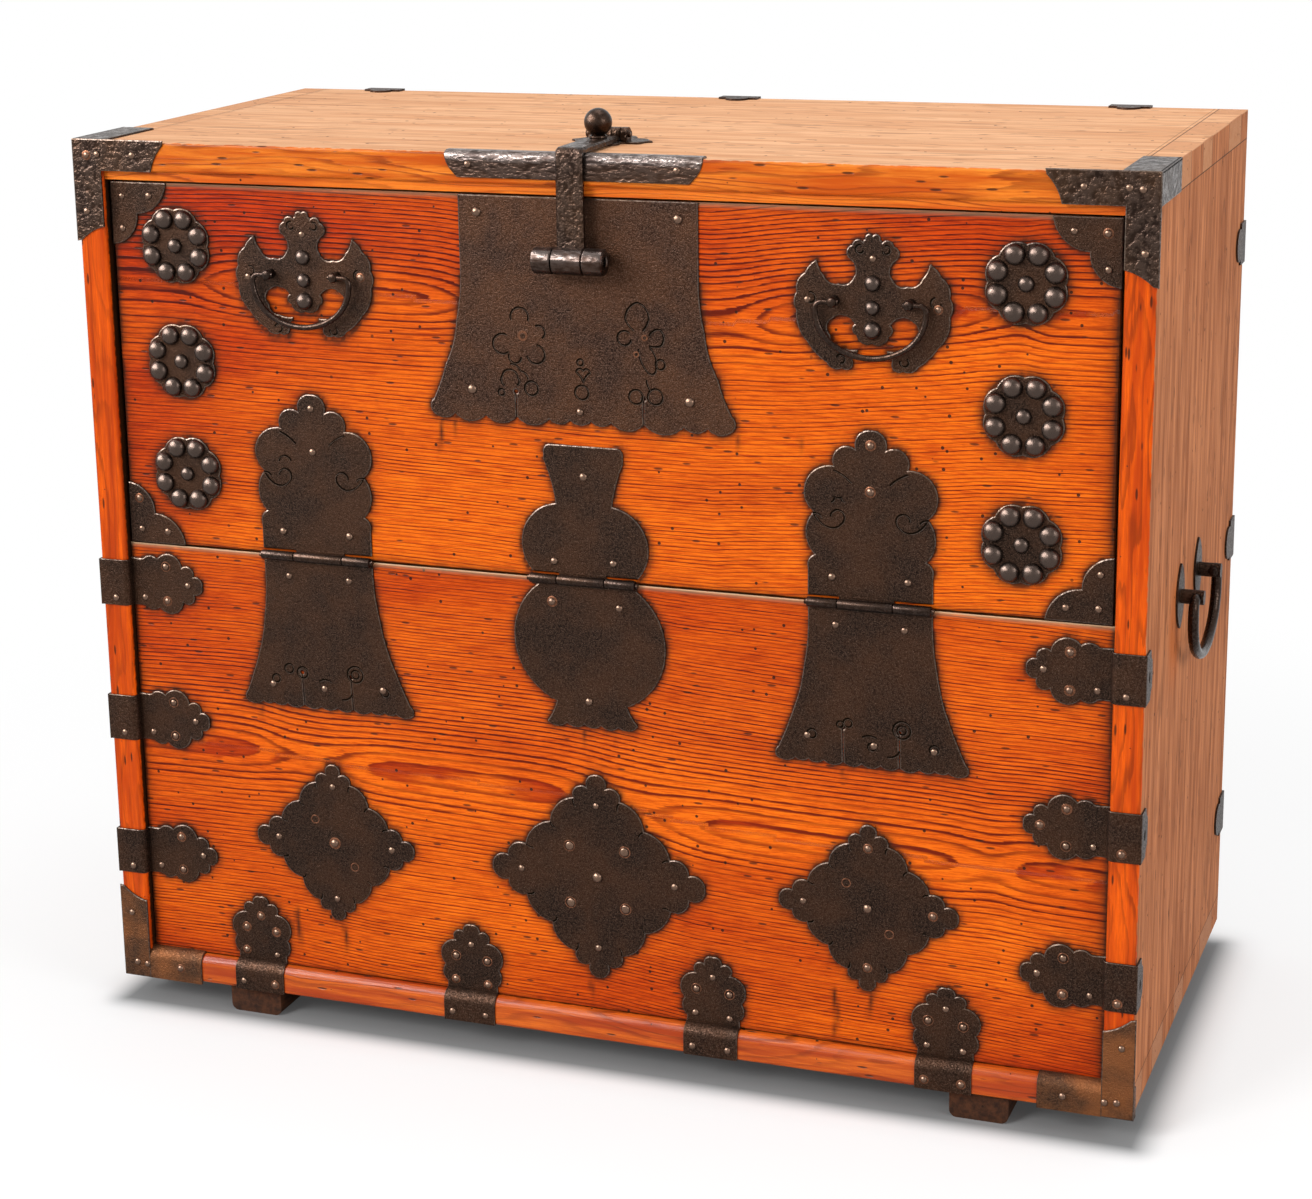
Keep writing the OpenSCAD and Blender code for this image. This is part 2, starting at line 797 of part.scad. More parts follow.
module door_rivets() {
    color(iron) placed() {
        for (side = [-1, 1]) {
            about_centre(side, hinge_x)
                for (spot = [[0, 142], [0, 101], [-34, 23], [34, 23]])
                    head_at(spot[0], seam_z + spot[1], recess, 3.5, 2.4);
            about_centre(side, bail_x)
                for (spot = [[0, 37], [-57, 0], [57, -4]])
                    head_at(spot[0], bail_z + spot[1], recess, 3, 1.6);
            about_centre(side, 0) {
                head_at(94, door_high - 15, recess, 4.4, 3);
                head_at(103, door_high - 175, recess, 4.4, 3);
            }
            for (spot = [[12, 13], [40, 12], [11, 43]]) {
                head_at(side * (door_half - spot[0]), door_high - spot[1], recess);
                head_at(side * (door_half - spot[0]), door_low + spot[1], recess);
            }
        }
        translate([centre_x, 0, 0]) {
            head_at(0, door_high - 190, recess, 3.4, 2.4);
            for (spot = [[2, 96], [-28, 16], [29, 18]]) head_at(spot[0], seam_z + spot[1], recess, 3.6, 2.4);
        }
    }
}

// Moving handles and hasp

// A handle in the x-z plane: a pin inwards at each end, a bend, a side arc and one arc at the bottom.
// A bead of the smith's weld covers each joint.
module bail(rod, pin, bend, side_r, side_turn, straight, pin_rod) {
    leg = pin[1] + bend;
    side_c = [leg - side_r, -bend - straight];
    foot = [side_c[0] + side_r * cos(side_turn), side_c[1] - side_r * sin(side_turn)];
    bottom_r = foot[0] / cos(side_turn);
    bottom_c = foot[1] + bottom_r * sin(side_turn);
    module ring(r, from, to) {
        rotate([90, 0, 0]) rotate([0, 0, from]) rotate_extrude(angle = to - from) translate([r, 0]) circle(rod);
    }
    module bead(at) {
        translate([at[0], 0, at[1]]) sphere(1.04 * rod);
    }
    mirrored_pair() {
        translate([pin[0], 0, 0]) rotate([0, 90, 0]) cylinder(h = pin[1] - pin[0], r = pin_rod);
        translate([pin[1], 0, -bend]) ring(bend, 0, 90);
        if (straight > 0) translate([leg, 0, -bend - straight]) cylinder(h = straight, r = rod);
        translate([side_c[0], 0, side_c[1]]) ring(side_r, -side_turn, 0);
        bead([leg, -bend - straight]);
        bead(foot);
    }
    translate([0, 0, bottom_c]) ring(bottom_r, side_turn - 180, -side_turn);
}

module door_bail(side) {
    color(iron) placed() about_centre(side, bail_x) translate([0, bail_y, bail_z])
        bail(bail_rod, bail_pin, bail_bend, 38, 58, 0, bail_rod - 0.3, $fn = 32);
}

module side_bail(side) {
    color(iron) placed() mirror([side < 0 ? 1 : 0, 0, 0])
        translate([side_bail_x, side_bail_y, side_bail_z]) rotate(90)
            bail(side_rod, side_pin, side_bend, 40, 55, 6, side_rod, $fn = 32);
}

// A strap bent over the top edge, rolled into an eye behind and into the lock barrel below
module hasp() {
    out = arm_y - hasp_t / 2;
    bend = hasp_t + arm_ease;
    top = strap_low + hasp_t;
    color(iron) placed() translate([centre_x, 0, 0]) difference() {
        union() {
            translate([-hasp_w / 2, 0, 0]) along_x(hasp_w) {
                translate([out, lock_z]) square([hasp_t, top - bend - lock_z]);
                translate([out + bend, strap_low]) square([hasp_pivot_y - out - bend, hasp_t]);
                polygon(concat(
                    arc([out + bend, top - bend], bend, 180, 90),
                    arc([out + bend, top - bend], arm_ease, 90, 180)));
            }
            translate([-hasp_w / 2, hasp_pivot_y, pivot_z]) rotate([0, 90, 0]) cylinder(h = hasp_w, r = eye_r);
            translate([barrel_play - barrel_split[0], barrel_y, lock_z]) rotate([0, 90, 0])
                cylinder(h = 2 * (barrel_split[0] - barrel_play), r = barrel_r);
        }
        translate([-50, hasp_pivot_y, pivot_z]) rotate([0, 90, 0]) cylinder(h = 100, r = hasp_pin_r + pin_play);
        translate([-50, barrel_y, lock_z]) rotate([0, 90, 0]) cylinder(h = 100, r = bolt_r);
    }
}

module hasp_knob() {
    color(iron) placed() translate([centre_x, ball_y, strap_low + hasp_t]) {
        cylinder(h = 3, r = 8);
        cylinder(h = 6, r = 5.5);
        translate([0, 0, ball_r + 1.5]) sphere(ball_r);
    }
}

top_board();
bottom_board();
side_board(-1);  // left_side_board
side_board(1);  // right_side_board
back_board();
lower_front_panel();
header_rail();
top_door_stop();
side_door_stops();
runner(-1);  // left_runner
runner(1);  // right_runner
corner_iron(-1, true);  // top_left_corner_iron
corner_iron(1, true);  // top_right_corner_iron
corner_iron(-1, false);  // bottom_left_corner_iron
corner_iron(1, false);  // bottom_right_corner_iron
top_rail_plate();
hasp_base_plate();
hasp_staple();
side_strap(-1, 0);  // left_strap_low
side_strap(-1, 1);  // left_strap_middle
side_strap(-1, 2);  // left_strap_high
side_strap(1, 0);  // right_strap_low
side_strap(1, 1);  // right_strap_middle
side_strap(1, 2);  // right_strap_high
bottom_strap(0);  // bottom_strap_1
bottom_strap(1);  // bottom_strap_2
bottom_strap(2);  // bottom_strap_3
bottom_strap(3);  // bottom_strap_4
diamond_plate(-1);  // left_diamond_plate
diamond_plate(0);  // centre_diamond_plate
diamond_plate(1);  // right_diamond_plate
lower_leaf(-1);  // left_hinge_lower_leaf
lower_leaf(0);  // centre_hinge_lower_leaf
lower_leaf(1);  // right_hinge_lower_leaf
hinge_pins();
back_straps();
handle_plates(-1);  // left_handle_plates
handle_plates(1);  // right_handle_plates
case_rivets();
door_panel();
lock_plate();
lock_eyes();
upper_leaf(-1);  // left_hinge_upper_leaf
upper_leaf(0);  // centre_hinge_upper_leaf
upper_leaf(1);  // right_hinge_upper_leaf
door_corner_plate(-1, true);  // door_corner_top_left
door_corner_plate(1, true);  // door_corner_top_right
door_corner_plate(-1, false);  // door_corner_bottom_left
door_corner_plate(1, false);  // door_corner_bottom_right
rosettes(-1);  // left_rosettes
rosettes(1);  // right_rosettes
bail_plate(-1);  // left_bail_plate
bail_plate(1);  // right_bail_plate
door_rivets();
door_bail(-1);  // left_door_bail
door_bail(1);  // right_door_bail
side_bail(-1);  // left_side_bail
side_bail(1);  // right_side_bail
hasp();
hasp_knob();
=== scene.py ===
# %% [markdown]
# # A drop-front chest of pine and forged iron
# The chest is a plain pine box whose front is lacquered and covered with iron plates. The upper half of
# the front is a door that folds down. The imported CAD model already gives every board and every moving
# part its place, so this script only dresses that frame: the boards get grain, the plates get their cut
# outlines, and the iron gets its skin. All lengths below are in millimetres on the case and are turned
# into metres once.

# %% The frame, and its size before anything is added
import math

import bpy
import numpy as np
from mathutils import Matrix, Vector, noise
from mathutils.geometry import tessellate_polygon


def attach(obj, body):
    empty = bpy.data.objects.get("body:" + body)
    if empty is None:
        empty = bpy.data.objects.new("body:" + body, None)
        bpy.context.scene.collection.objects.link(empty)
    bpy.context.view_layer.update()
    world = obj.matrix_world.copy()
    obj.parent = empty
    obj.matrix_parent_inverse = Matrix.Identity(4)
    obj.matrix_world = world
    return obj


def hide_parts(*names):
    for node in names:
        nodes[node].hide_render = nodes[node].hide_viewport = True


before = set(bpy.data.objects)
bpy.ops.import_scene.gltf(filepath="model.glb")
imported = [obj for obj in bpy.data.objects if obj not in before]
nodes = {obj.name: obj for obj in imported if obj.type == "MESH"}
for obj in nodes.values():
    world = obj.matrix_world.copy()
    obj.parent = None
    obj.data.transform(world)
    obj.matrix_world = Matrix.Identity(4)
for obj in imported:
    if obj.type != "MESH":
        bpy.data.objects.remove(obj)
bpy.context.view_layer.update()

scene = bpy.context.scene
scene.view_settings.view_transform = "Standard"
noise.seed_set(1)  # the filed outlines are then the same at every run

# %% [markdown]
# ## One place for every length
# The chest was measured from three faces that a joiner would use too: the front of the frame (y = 0),
# the middle of the case (x = 0) and the underside of the case (z = 0). The CAD frame stands on the
# runners and is centred, so one function moves a place from the joiner's lengths to the scene's metres.

# %% Joiner's lengths
MM = 0.001
FRONT = -225.5  # the frame's front face, in the CAD frame
FOOT = 28  # the runners' height
HALF_W = 500
DEPTH = 470
HEIGHT = 826
BOARD = 27  # thickness of the boards
RECESS = 10  # how far the door and the lower panel lie behind the frame
IRON = 2  # thickness of the plates
FACE = RECESS - IRON
CENTRE = -7  # middle of the lock plate and of the middle hinge
SEAM = 443  # height of the line that the door turns about
AXIS_Y = 5.1
CLEAR = 5.5  # gap between a hinge leaf and that line
LEAF_LENGTH = 146
DOOR_HALF = 470
DOOR_LOW = 444
DOOR_HIGH = 788
OPEN_HALF = HALF_W - BOARD
OPEN_TOP = HEIGHT - BOARD
HINGE_X = 266
HANDLE_X, HANDLE_Z = 267, 709
ROSETTE_X, ROSETTE_R = 398, 33
SIDES = ((-1, "left"), (1, "right"))
STRAP_Z = {-1: (130, 268, 404), 1: (121, 259, 400)}
ROSETTE_Z = {-1: (514.5, 622, 730.5), 1: (507.5, 618.5, 730.5)}
RAIL_STRAP_X = (-352, -129, 112, 331)
LOZENGES = {-1: (-268, 160.5, 83, 79), 0: (0.5, 159, 105, 100), 1: (258.5, 161.5, 83, 79)}
FOOT_LEAN = {-1: 5, 0: 3, 1: 1.9}
FINGER_CUTS = [DEPTH * share for share in (0.1, 0.205, 0.32, 0.45, 0.555, 0.76, 0.915)]


def spot(x, y, z):
    """A place in joiner's lengths, in the scene's metres."""
    return (x * MM, (y + FRONT) * MM, (z + FOOT) * MM)


print("case", 2 * HALF_W, "by", DEPTH, "by", HEIGHT, "mm on runners of", FOOT, "mm")

# %% [markdown]
# ## The camera
# A camera was fitted to the corners of the case in the photograph. It stands to the right, about two and
# a half metres away and a little above the top, and looks down and to the left. Its picture is 1312 by
# 1199. The lens and the shift are worked out from the focal length and the middle of the picture, in its
# pixels.

# %% Camera
PICTURE = (1312, 1199)
FOCAL = 2803.56
AIM = (623.02, 510.26)
STANDS_AT = (887.365, -2245.467, 1130.024)
SENSOR = 36
right = Vector((0.936325879, 0.350726482, -0.016875523))
down = Vector((0.071919838, -0.238600525, -0.968450993))
ahead = Vector((-0.343687918, 0.905572043, -0.248632038))
camera = bpy.data.objects.new("camera", bpy.data.cameras.new("camera"))
scene.collection.objects.link(camera)
turn = Matrix((right, -down, -ahead)).transposed().to_4x4()
camera.matrix_world = Matrix.Translation(spot(*STANDS_AT)) @ turn
camera.data.sensor_width = SENSOR
camera.data.lens = FOCAL / PICTURE[0] * SENSOR
camera.data.shift_x = (PICTURE[0] / 2 - AIM[0]) / PICTURE[0]
camera.data.shift_y = (AIM[1] - PICTURE[1] / 2) / PICTURE[0]
camera.data.clip_start = 0.05
camera.data.clip_end = 60
scene.camera = camera
print("lens", round(camera.data.lens, 2), "mm")

# %% [markdown]
# ## A short way to write node trees
# Materials here are node trees. Writing every link by hand makes them hard to read, so a small helper
# adds a node, fills its inputs with numbers, colours or another node's output, and gives back the
# output. With a few named sums, such as times and minus, a finish then reads from top to bottom like a
# sum on paper.


# %% Writing nodes
class Sheet:
    """A node tree that is written like a sum: each call adds one node and returns its output."""

    def __init__(self, tree):
        self.tree = tree

    def fill(self, socket, value):
        """Gives an input a number, a (red, green, blue) colour or another node's output."""
        if isinstance(value, bpy.types.NodeSocket):
            self.link(value, socket)
        elif value is not None:
            socket.default_value = (*value, 1.0) if socket.type == "RGBA" else value

    def link(self, value, socket):
        self.tree.links.new(value, socket)

    def add(self, kind, inputs=None, out=0, **settings):
        """A node of this kind; out names the output that is wanted, or is None for the node itself."""
        made = self.tree.nodes.new(kind)
        for key, value in settings.items():
            setattr(made, key, value)
        for key, value in (inputs or {}).items():
            self.fill(made.inputs[key], value)
        return made.outputs[out] if out is not None else made

    def sum(self, kind, a, b=None, c=None, clamp=False):
        return self.add("ShaderNodeMath", {0: a, 1: b, 2: c}, operation=kind, use_clamp=clamp)

    def times(self, a, b, clamp=False):
        return self.sum("MULTIPLY", a, b, clamp=clamp)

    def plus(self, a, b, clamp=False):
        return self.sum("ADD", a, b, clamp=clamp)

    def minus(self, a, b):
        return self.sum("SUBTRACT", a, b)

    def scaled(self, a, factor, shift):
        return self.sum("MULTIPLY_ADD", a, factor, shift)

    def most(self, a, b):
        return self.sum("MAXIMUM", a, b)

    def over(self, a, limit):
        return self.sum("GREATER_THAN", a, limit)

    def size(self, a):
        return self.sum("ABSOLUTE", a)

    def vector(self, kind, a, b=None):
        out = "Value" if kind == "LENGTH" else 0
        return self.add("ShaderNodeVectorMath", {0: a, 1: b}, out, operation=kind)

    def blend(self, share, a, b, kind="MIX"):
        """Colour a at share 0 and colour b at share 1."""
        return self.add("ShaderNodeMix", {0: share, 6: a, 7: b}, 2, data_type="RGBA", blend_type=kind)

    def window(self, value, low, high, to_low=0.0, to_high=1.0):
        """Turns low..high into to_low..to_high with soft ends."""
        return self.add("ShaderNodeMapRange", {0: value, 1: low, 2: high, 3: to_low, 4: to_high},
                        interpolation_type="SMOOTHSTEP")

    def noise(self, place, scale, detail=2.0, rough=0.5):
        return self.add("ShaderNodeTexNoise", {"Vector": place, "Scale": scale, "Detail": detail,
                                               "Roughness": rough})

    def drawn(self, place, scale, detail=2.0, rough=0.5):
        """Noise drawn out along the axis with the smallest scale, as wood grain is."""
        return self.noise(self.stretch(place, *scale), 1.0, detail, rough)

    def cells(self, place, scale, feature="F1", out="Distance"):
        return self.add("ShaderNodeTexVoronoi", {"Vector": place, "Scale": scale}, out, feature=feature)

    def stretch(self, place, x, y, z):
        return self.add("ShaderNodeMapping", {"Vector": place, "Scale": (x, y, z)})

    def parts(self, place):
        return self.add("ShaderNodeSeparateXYZ", {0: place}, None).outputs

    def joined(self, x, y, z):
        return self.add("ShaderNodeCombineXYZ", {0: x, 1: y, 2: z})

    def number(self, name):
        """The number that the piece's mesh carries under this name."""
        return self.add("ShaderNodeAttribute", None, "Fac", attribute_name=name)

    def bump(self, height, distance):
        return self.add("ShaderNodeBump", {"Strength": 1.0, "Distance": distance, "Height": height})


# %% Groups and materials
def group(name, sockets, results):
    """A named shader group: sockets are (name, kind, default) rows, and results are names of values."""
    tree = bpy.data.node_groups.new(name, "ShaderNodeTree")
    kinds = {"value": "NodeSocketFloat", "vector": "NodeSocketVector"}
    for label, kind, default in sockets:
        made = tree.interface.new_socket(label, in_out="INPUT", socket_type=kinds[kind])
        if default is not None:
            made.default_value = default
    for label in results:
        tree.interface.new_socket(label, in_out="OUTPUT", socket_type=kinds["value"])
    print("group", name, "gives", *results)
    enter = tree.nodes.new("NodeGroupInput").outputs
    leave = tree.nodes.new("NodeGroupOutput").inputs
    return tree, Sheet(tree), enter, leave


def use(sheet, tree, inputs):
    """Places a group in a tree and returns its outputs."""
    return sheet.add("ShaderNodeGroup", inputs, None, node_tree=tree).outputs


def finish_of(name):
    """A new material: its sheet, its Principled shader, and the place on the piece in millimetres."""
    material = bpy.data.materials.new(name)
    material.use_nodes = True
    sheet = Sheet(material.node_tree)
    skin = material.node_tree.nodes["Principled BSDF"]
    here = sheet.add("ShaderNodeTexCoord", None, "Object")
    print("finish", name)
    return material, sheet, skin, sheet.stretch(here, 1 / MM, 1 / MM, 1 / MM)


def wire(sheet, skin, gloss, **links):
    """Fills the Principled shader's inputs; gloss is its specular level."""
    sheet.fill(skin.inputs["Specular IOR Level"], gloss)
    for key, value in links.items():
        sheet.fill(skin.inputs[key.replace("_", " ")], value)


# %% [markdown]
# ## Groups that several finishes share
# Pine is striped: soft pale wood grown in spring runs slowly into a hard dark line grown in summer, and
# then starts again at once. The first group turns a ring number into that lopsided stripe, so a board
# only has to say which ring lies where. The second group gives old wood its worm holes and short dark
# pores, the third gives forged iron its pitted skin, and the fourth draws the fine lines where the
# boards' fingers meet at the corners. Each is built once and used with different sizes.

# %% Stripes from ring numbers
stripes, s, enter, leave = group(
    "pine_stripes",
    [("Ring", "value", 0.0), ("Place", "vector", None), ("Waver", "value", 0.25), ("Depth", "value", 0.75)],
    ["Line", "Fibre", "Streak"])
waver = s.drawn(enter["Place"], (0.012, 0.1, 0.22), 3.0)
shake = s.drawn(enter["Place"], (0.05, 0.6, 0.9), 2.0)
ring = s.scaled(s.minus(waver, 0.5), enter["Waver"], enter["Ring"])
ring = s.scaled(s.minus(shake, 0.5), 0.3, ring)
phase = s.sum("FRACT", ring)
rise = s.window(phase, 0.54, 0.86)
drop = s.window(phase, 0.93, 1.0, 1.0, 0.0)
each = s.add("ShaderNodeTexWhiteNoise", {"W": s.sum("FLOOR", ring)}, "Value", noise_dimensions="1D")
patch = s.drawn(enter["Place"], (0.006, 0.05, 0.12), 2.0)
power = s.times(s.window(each, 0.0, 1.0, 0.5, 1.0), s.window(patch, 0.3, 0.6, 0.65, 1.2))
line = s.times(s.times(rise, drop), s.times(power, enter["Depth"]))
s.link(line, leave["Line"])
fibre = s.drawn(enter["Place"], (0.03, 1.2, 1.6), 4.0, 0.65)
s.link(fibre, leave["Fibre"])
streak = s.drawn(enter["Place"], (0.03, 0.45, 0.62), 5.0, 0.75)
s.link(s.window(streak, 0.34, 0.62), leave["Streak"])

# %% Worm holes and pores
pores, s, enter, leave = group(
    "old_wood_pores",
    [("Place", "vector", None), ("Holes", "value", 0.5), ("Grain", "vector", (0.1, 1.0, 1.0))], ["Mark"])
dots = s.cells(enter["Place"], 0.07)
chance = s.parts(s.cells(enter["Place"], 0.07, out="Color"))
keep = s.window(chance[0], 0.38, 0.42)
size = s.window(chance[1], 0.2, 1.0, 0.045, 0.115)
hole = s.times(s.window(s.minus(size, dots), -0.01, 0.02), keep)
along = s.vector("MULTIPLY", enter["Place"], enter["Grain"])
dashes = s.cells(along, 0.13)
few = s.window(s.parts(s.cells(along, 0.13, out="Color"))[1], 0.5, 0.55)
dash = s.times(s.window(dashes, 0.1, 0.17, 0.85, 0.0), few)
mark = s.times(s.most(hole, dash), enter["Holes"], clamp=True)
s.link(mark, leave["Mark"])

# %% Skin of forged iron
forged, s, enter, leave = group(
    "forged_skin", [("Place", "vector", None), ("Grit", "value", 0.5), ("Dents", "value", 0.15)],
    ["Pits", "Flecks", "Cloud", "Height"])
grit = s.noise(enter["Place"], enter["Grit"], 4.0, 0.6)
fleck = s.noise(enter["Place"], s.times(enter["Grit"], 2.3), 2.0)
cloud = s.noise(enter["Place"], 0.018, 3.0, 0.6)
dent = s.cells(enter["Place"], enter["Dents"], "SMOOTH_F1")
pits = s.window(s.scaled(fleck, 0.45, s.times(grit, 0.55)), 0.38, 0.62)
s.link(pits, leave["Pits"])
curls = s.noise(enter["Place"], s.times(enter["Grit"], 1.5), 3.0, 0.6)
flecks = s.window(s.size(s.minus(curls, 0.5)), 0.012, 0.03, 1.0, 0.0)
s.link(s.times(flecks, s.window(fleck, 0.5, 0.6)), leave["Flecks"])
s.link(s.window(cloud, 0.35, 0.65), leave["Cloud"])
s.link(s.scaled(dent, 0.6, pits), leave["Height"])

# %% Lines where the boards meet at the corners
joints, s, enter, leave = group("corner_joints", [("Place", "vector", None)], ["Line"])
SKIN = 0.4  # a place this near an outer face counts as on it
INNER_HIGH = OPEN_TOP - HEIGHT / 2


def thin_line(gap, half=0.25, soft=0.8, dark=1.0):
    """Dark where the gap is small."""
    return s.window(gap, half, soft, dark, 0.0)


x, y, z = s.parts(enter["Place"])
wide = s.size(x)
high = s.size(s.minus(z, FOOT + HEIGHT / 2))
cut = s.size(s.minus(y, FRONT + FINGER_CUTS[0]))
for place_y in FINGER_CUTS[1:]:
    cut = s.sum("MINIMUM", cut, s.size(s.minus(y, FRONT + place_y)))
in_corner = s.times(s.over(wide, OPEN_HALF - 0.5), s.over(high, INNER_HIGH - 0.5))
on_top = s.over(high, HEIGHT / 2 - SKIN)
fingers = s.times(thin_line(cut), in_corner)
across_top = s.times(on_top, thin_line(s.size(s.minus(wide, OPEN_HALF))))
scribed = s.times(on_top, thin_line(s.size(s.minus(wide, OPEN_HALF - 4)), 0.2, 0.6, 0.6))
across_side = s.times(s.over(wide, HALF_W - SKIN), thin_line(s.size(s.minus(high, INNER_HIGH))))
lines = s.most(s.most(fingers, scribed), s.most(across_top, across_side))
s.link(s.times(lines, s.over(y, FRONT + 1.5)), leave["Line"])

# %% [markdown]
# ## Iron
# The plates are dark brown-black and dull, with a bright thin edge where cloths have rubbed them for
# years. The studs, the rail plate, the hasp and the handles are touched most and shine. Iron is a metal,
# so its colour is the colour of its reflection: the material is mostly metallic, with a very dark base.
# One function makes all the finishes. Two of them are painted pale above a certain height: on the rail plate
# this is partly wear from the hasp and partly a painted highlight, and on the barrel it is a painted
# highlight on its upper half. Those for studs and rivets are paler at the crown, which the dome's mesh tells
# them. The lock plate's iron is a lighter copy of the plates' iron, as painted light, and the near-black
# groove finish is painted shade.


# %% Iron finishes
BAND_WANDER = 9.0


def iron(name, dark, light, rust, roughness, grit, dents, depth, metal=0.8, rusty=0.35, gloss=0.1, fleck=0.0,
         pale_above=None, crown=None, pull=1.0):
    """A band of (from height, to height, share) is painted pale above those heights as a highlight, on the
    rail plate partly as wear; crown is the colour of stud tops.
    """
    material, s, skin, place = finish_of(name)
    surface = use(s, forged, {"Place": s.stretch(place, pull, 1.0, 1.0), "Grit": grit, "Dents": dents})
    tone = s.blend(surface["Pits"], dark, light)
    tone = s.blend(s.times(surface["Cloud"], rusty), tone, rust)
    if fleck:
        tone = s.blend(s.times(surface["Flecks"], fleck), tone, (0.2, 0.125, 0.09))
    # The pale band is a painted highlight on the upper side; on the rail plate it is partly wear from the
    # hasp too.
    if pale_above:
        wander = s.drawn(place, (0.05, 0.3, 0.3), 3.0, 0.6)
        z = s.scaled(wander, BAND_WANDER, s.parts(place)[2])
        level = s.window(z, pale_above[0] + BAND_WANDER / 2, pale_above[1] + BAND_WANDER / 2, 0.0, pale_above[2])
        tone = s.blend(level, tone, s.blend(surface["Pits"], (0.12, 0.092, 0.083), (0.6, 0.53, 0.5)))
    if crown:
        tone = s.blend(s.window(s.number("crown"), 0.45, 0.95), tone, crown)
    rough = s.window(surface["Pits"], 0.0, 1.0, roughness + 0.1, roughness - 0.06)
    wire(s, skin, gloss, Base_Color=tone, Roughness=rough, Metallic=metal,
         Normal=s.bump(surface["Height"], depth * MM))
    return material


# After the three colours: roughness, grit, dents, relief, metal, share of rust, gloss and flecks.
PLATE = iron("plate_iron", (0.008, 0.005, 0.0035), (0.04, 0.022, 0.015), (0.09, 0.036, 0.016),
             0.42, 0.4, 0.2, 0.18, 0.8, 0.25, 0.08, 0.45)
# The lock plate's iron is a lighter copy of the plates' iron, as painted light on the highest plate of the
# door.
LOCK_IRON_WITH_PAINTED_LIGHT = iron("lock_plate_iron_painted_light", (0.012, 0.006, 0.004), (0.054, 0.028, 0.019),
                 (0.11, 0.044, 0.019), 0.42, 0.34, 0.2, 0.2, 0.8, 0.3, 0.08, 0.6)
EDGE = iron("rubbed_edge", (0.022, 0.015, 0.012), (0.13, 0.097, 0.08), (0.1, 0.06, 0.035),
            0.36, 0.3, 0.2, 0.04, 0.9)
# A near-black iron for the inside of engraved lines and holes, as painted shade.
GROOVE_SHADE = iron("engraved_groove_painted_shade", (0.003, 0.002, 0.001), (0.008, 0.005, 0.003),
              (0.012, 0.006, 0.003), 0.7, 0.5, 0.2, 0.05, 0.3, 0.3, 0.0)
STUD = iron("stud_iron", (0.013, 0.008, 0.006), (0.042, 0.029, 0.024), (0.05, 0.026, 0.015),
            0.31, 0.35, 0.1, 0.05, 0.95, crown=(0.07, 0.05, 0.041))
RIVET = iron("rivet_iron", (0.04, 0.024, 0.016), (0.085, 0.055, 0.04), (0.09, 0.042, 0.022),
             0.31, 0.45, 0.1, 0.05, 0.95, crown=(0.15, 0.092, 0.064))
BRIGHT = iron("hammered_iron", (0.015, 0.009, 0.007), (0.06, 0.039, 0.03),
              (0.07, 0.035, 0.018), 0.33, 0.11, 0.065, 0.6, 0.95, 0.35, 0.1, 0.3)
# The rail plate's upper band is painted pale: partly wear from the hasp, partly a painted highlight where its
# rounded top faces the light.
RAIL_PLATE_WORN_AND_HIGHLIT = iron("rail_plate_worn_and_painted_highlight", (0.016, 0.01, 0.008), (0.07, 0.047, 0.038),
                  (0.08, 0.038, 0.02), 0.3, 0.16, 0.07, 0.4, 0.95, 0.35, 0.1, 0.3, (846.0, 851.5, 0.32),
                  pull=0.35)
# The barrel's iron is painted pale on its upper half as its highlight.
BARREL_WITH_PAINTED_HIGHLIGHT = iron("barrel_iron_painted_highlight", (0.016, 0.01, 0.008), (0.062, 0.044, 0.037),
                   (0.08, 0.036, 0.018), 0.28, 0.12, 0.07, 0.2, 0.95, 0.3, 0.1, 0.0, (760, 773, 0.18),
                   pull=0.5)
RUSTY = iron("rusty_iron", (0.026, 0.013, 0.008), (0.085, 0.04, 0.02), (0.2, 0.07, 0.023),
             0.42, 0.5, 0.2, 0.3, 0.6, 0.8)
COPPER = iron("copper_ring", (0.07, 0.028, 0.014), (0.24, 0.1, 0.055), (0.06, 0.03, 0.018),
              0.34, 0.5, 0.1, 0.04, 0.85)

# %% [markdown]
# ## Wood
# The front is pine under a clear red lacquer. The boards of the door and the lower panel carry six numbers at
# each point of their mesh: which ring lies there, how strong its dark line is, how dark it is with soot, wax
# and painted shade, how red the lacquer is, where it blushes in a flame, and where a pale line is painted
# along its top edge as its highlight. The material only turns these numbers into colour, so the same one
# serves both boards. Behind the face it is bare wood, for the inside.

# %% Lacquered front boards
# A near-black brown for pores, dark joints and soot, and also for the painted shade on the boards.
NEAR_BLACK = (0.02, 0.009, 0.004)


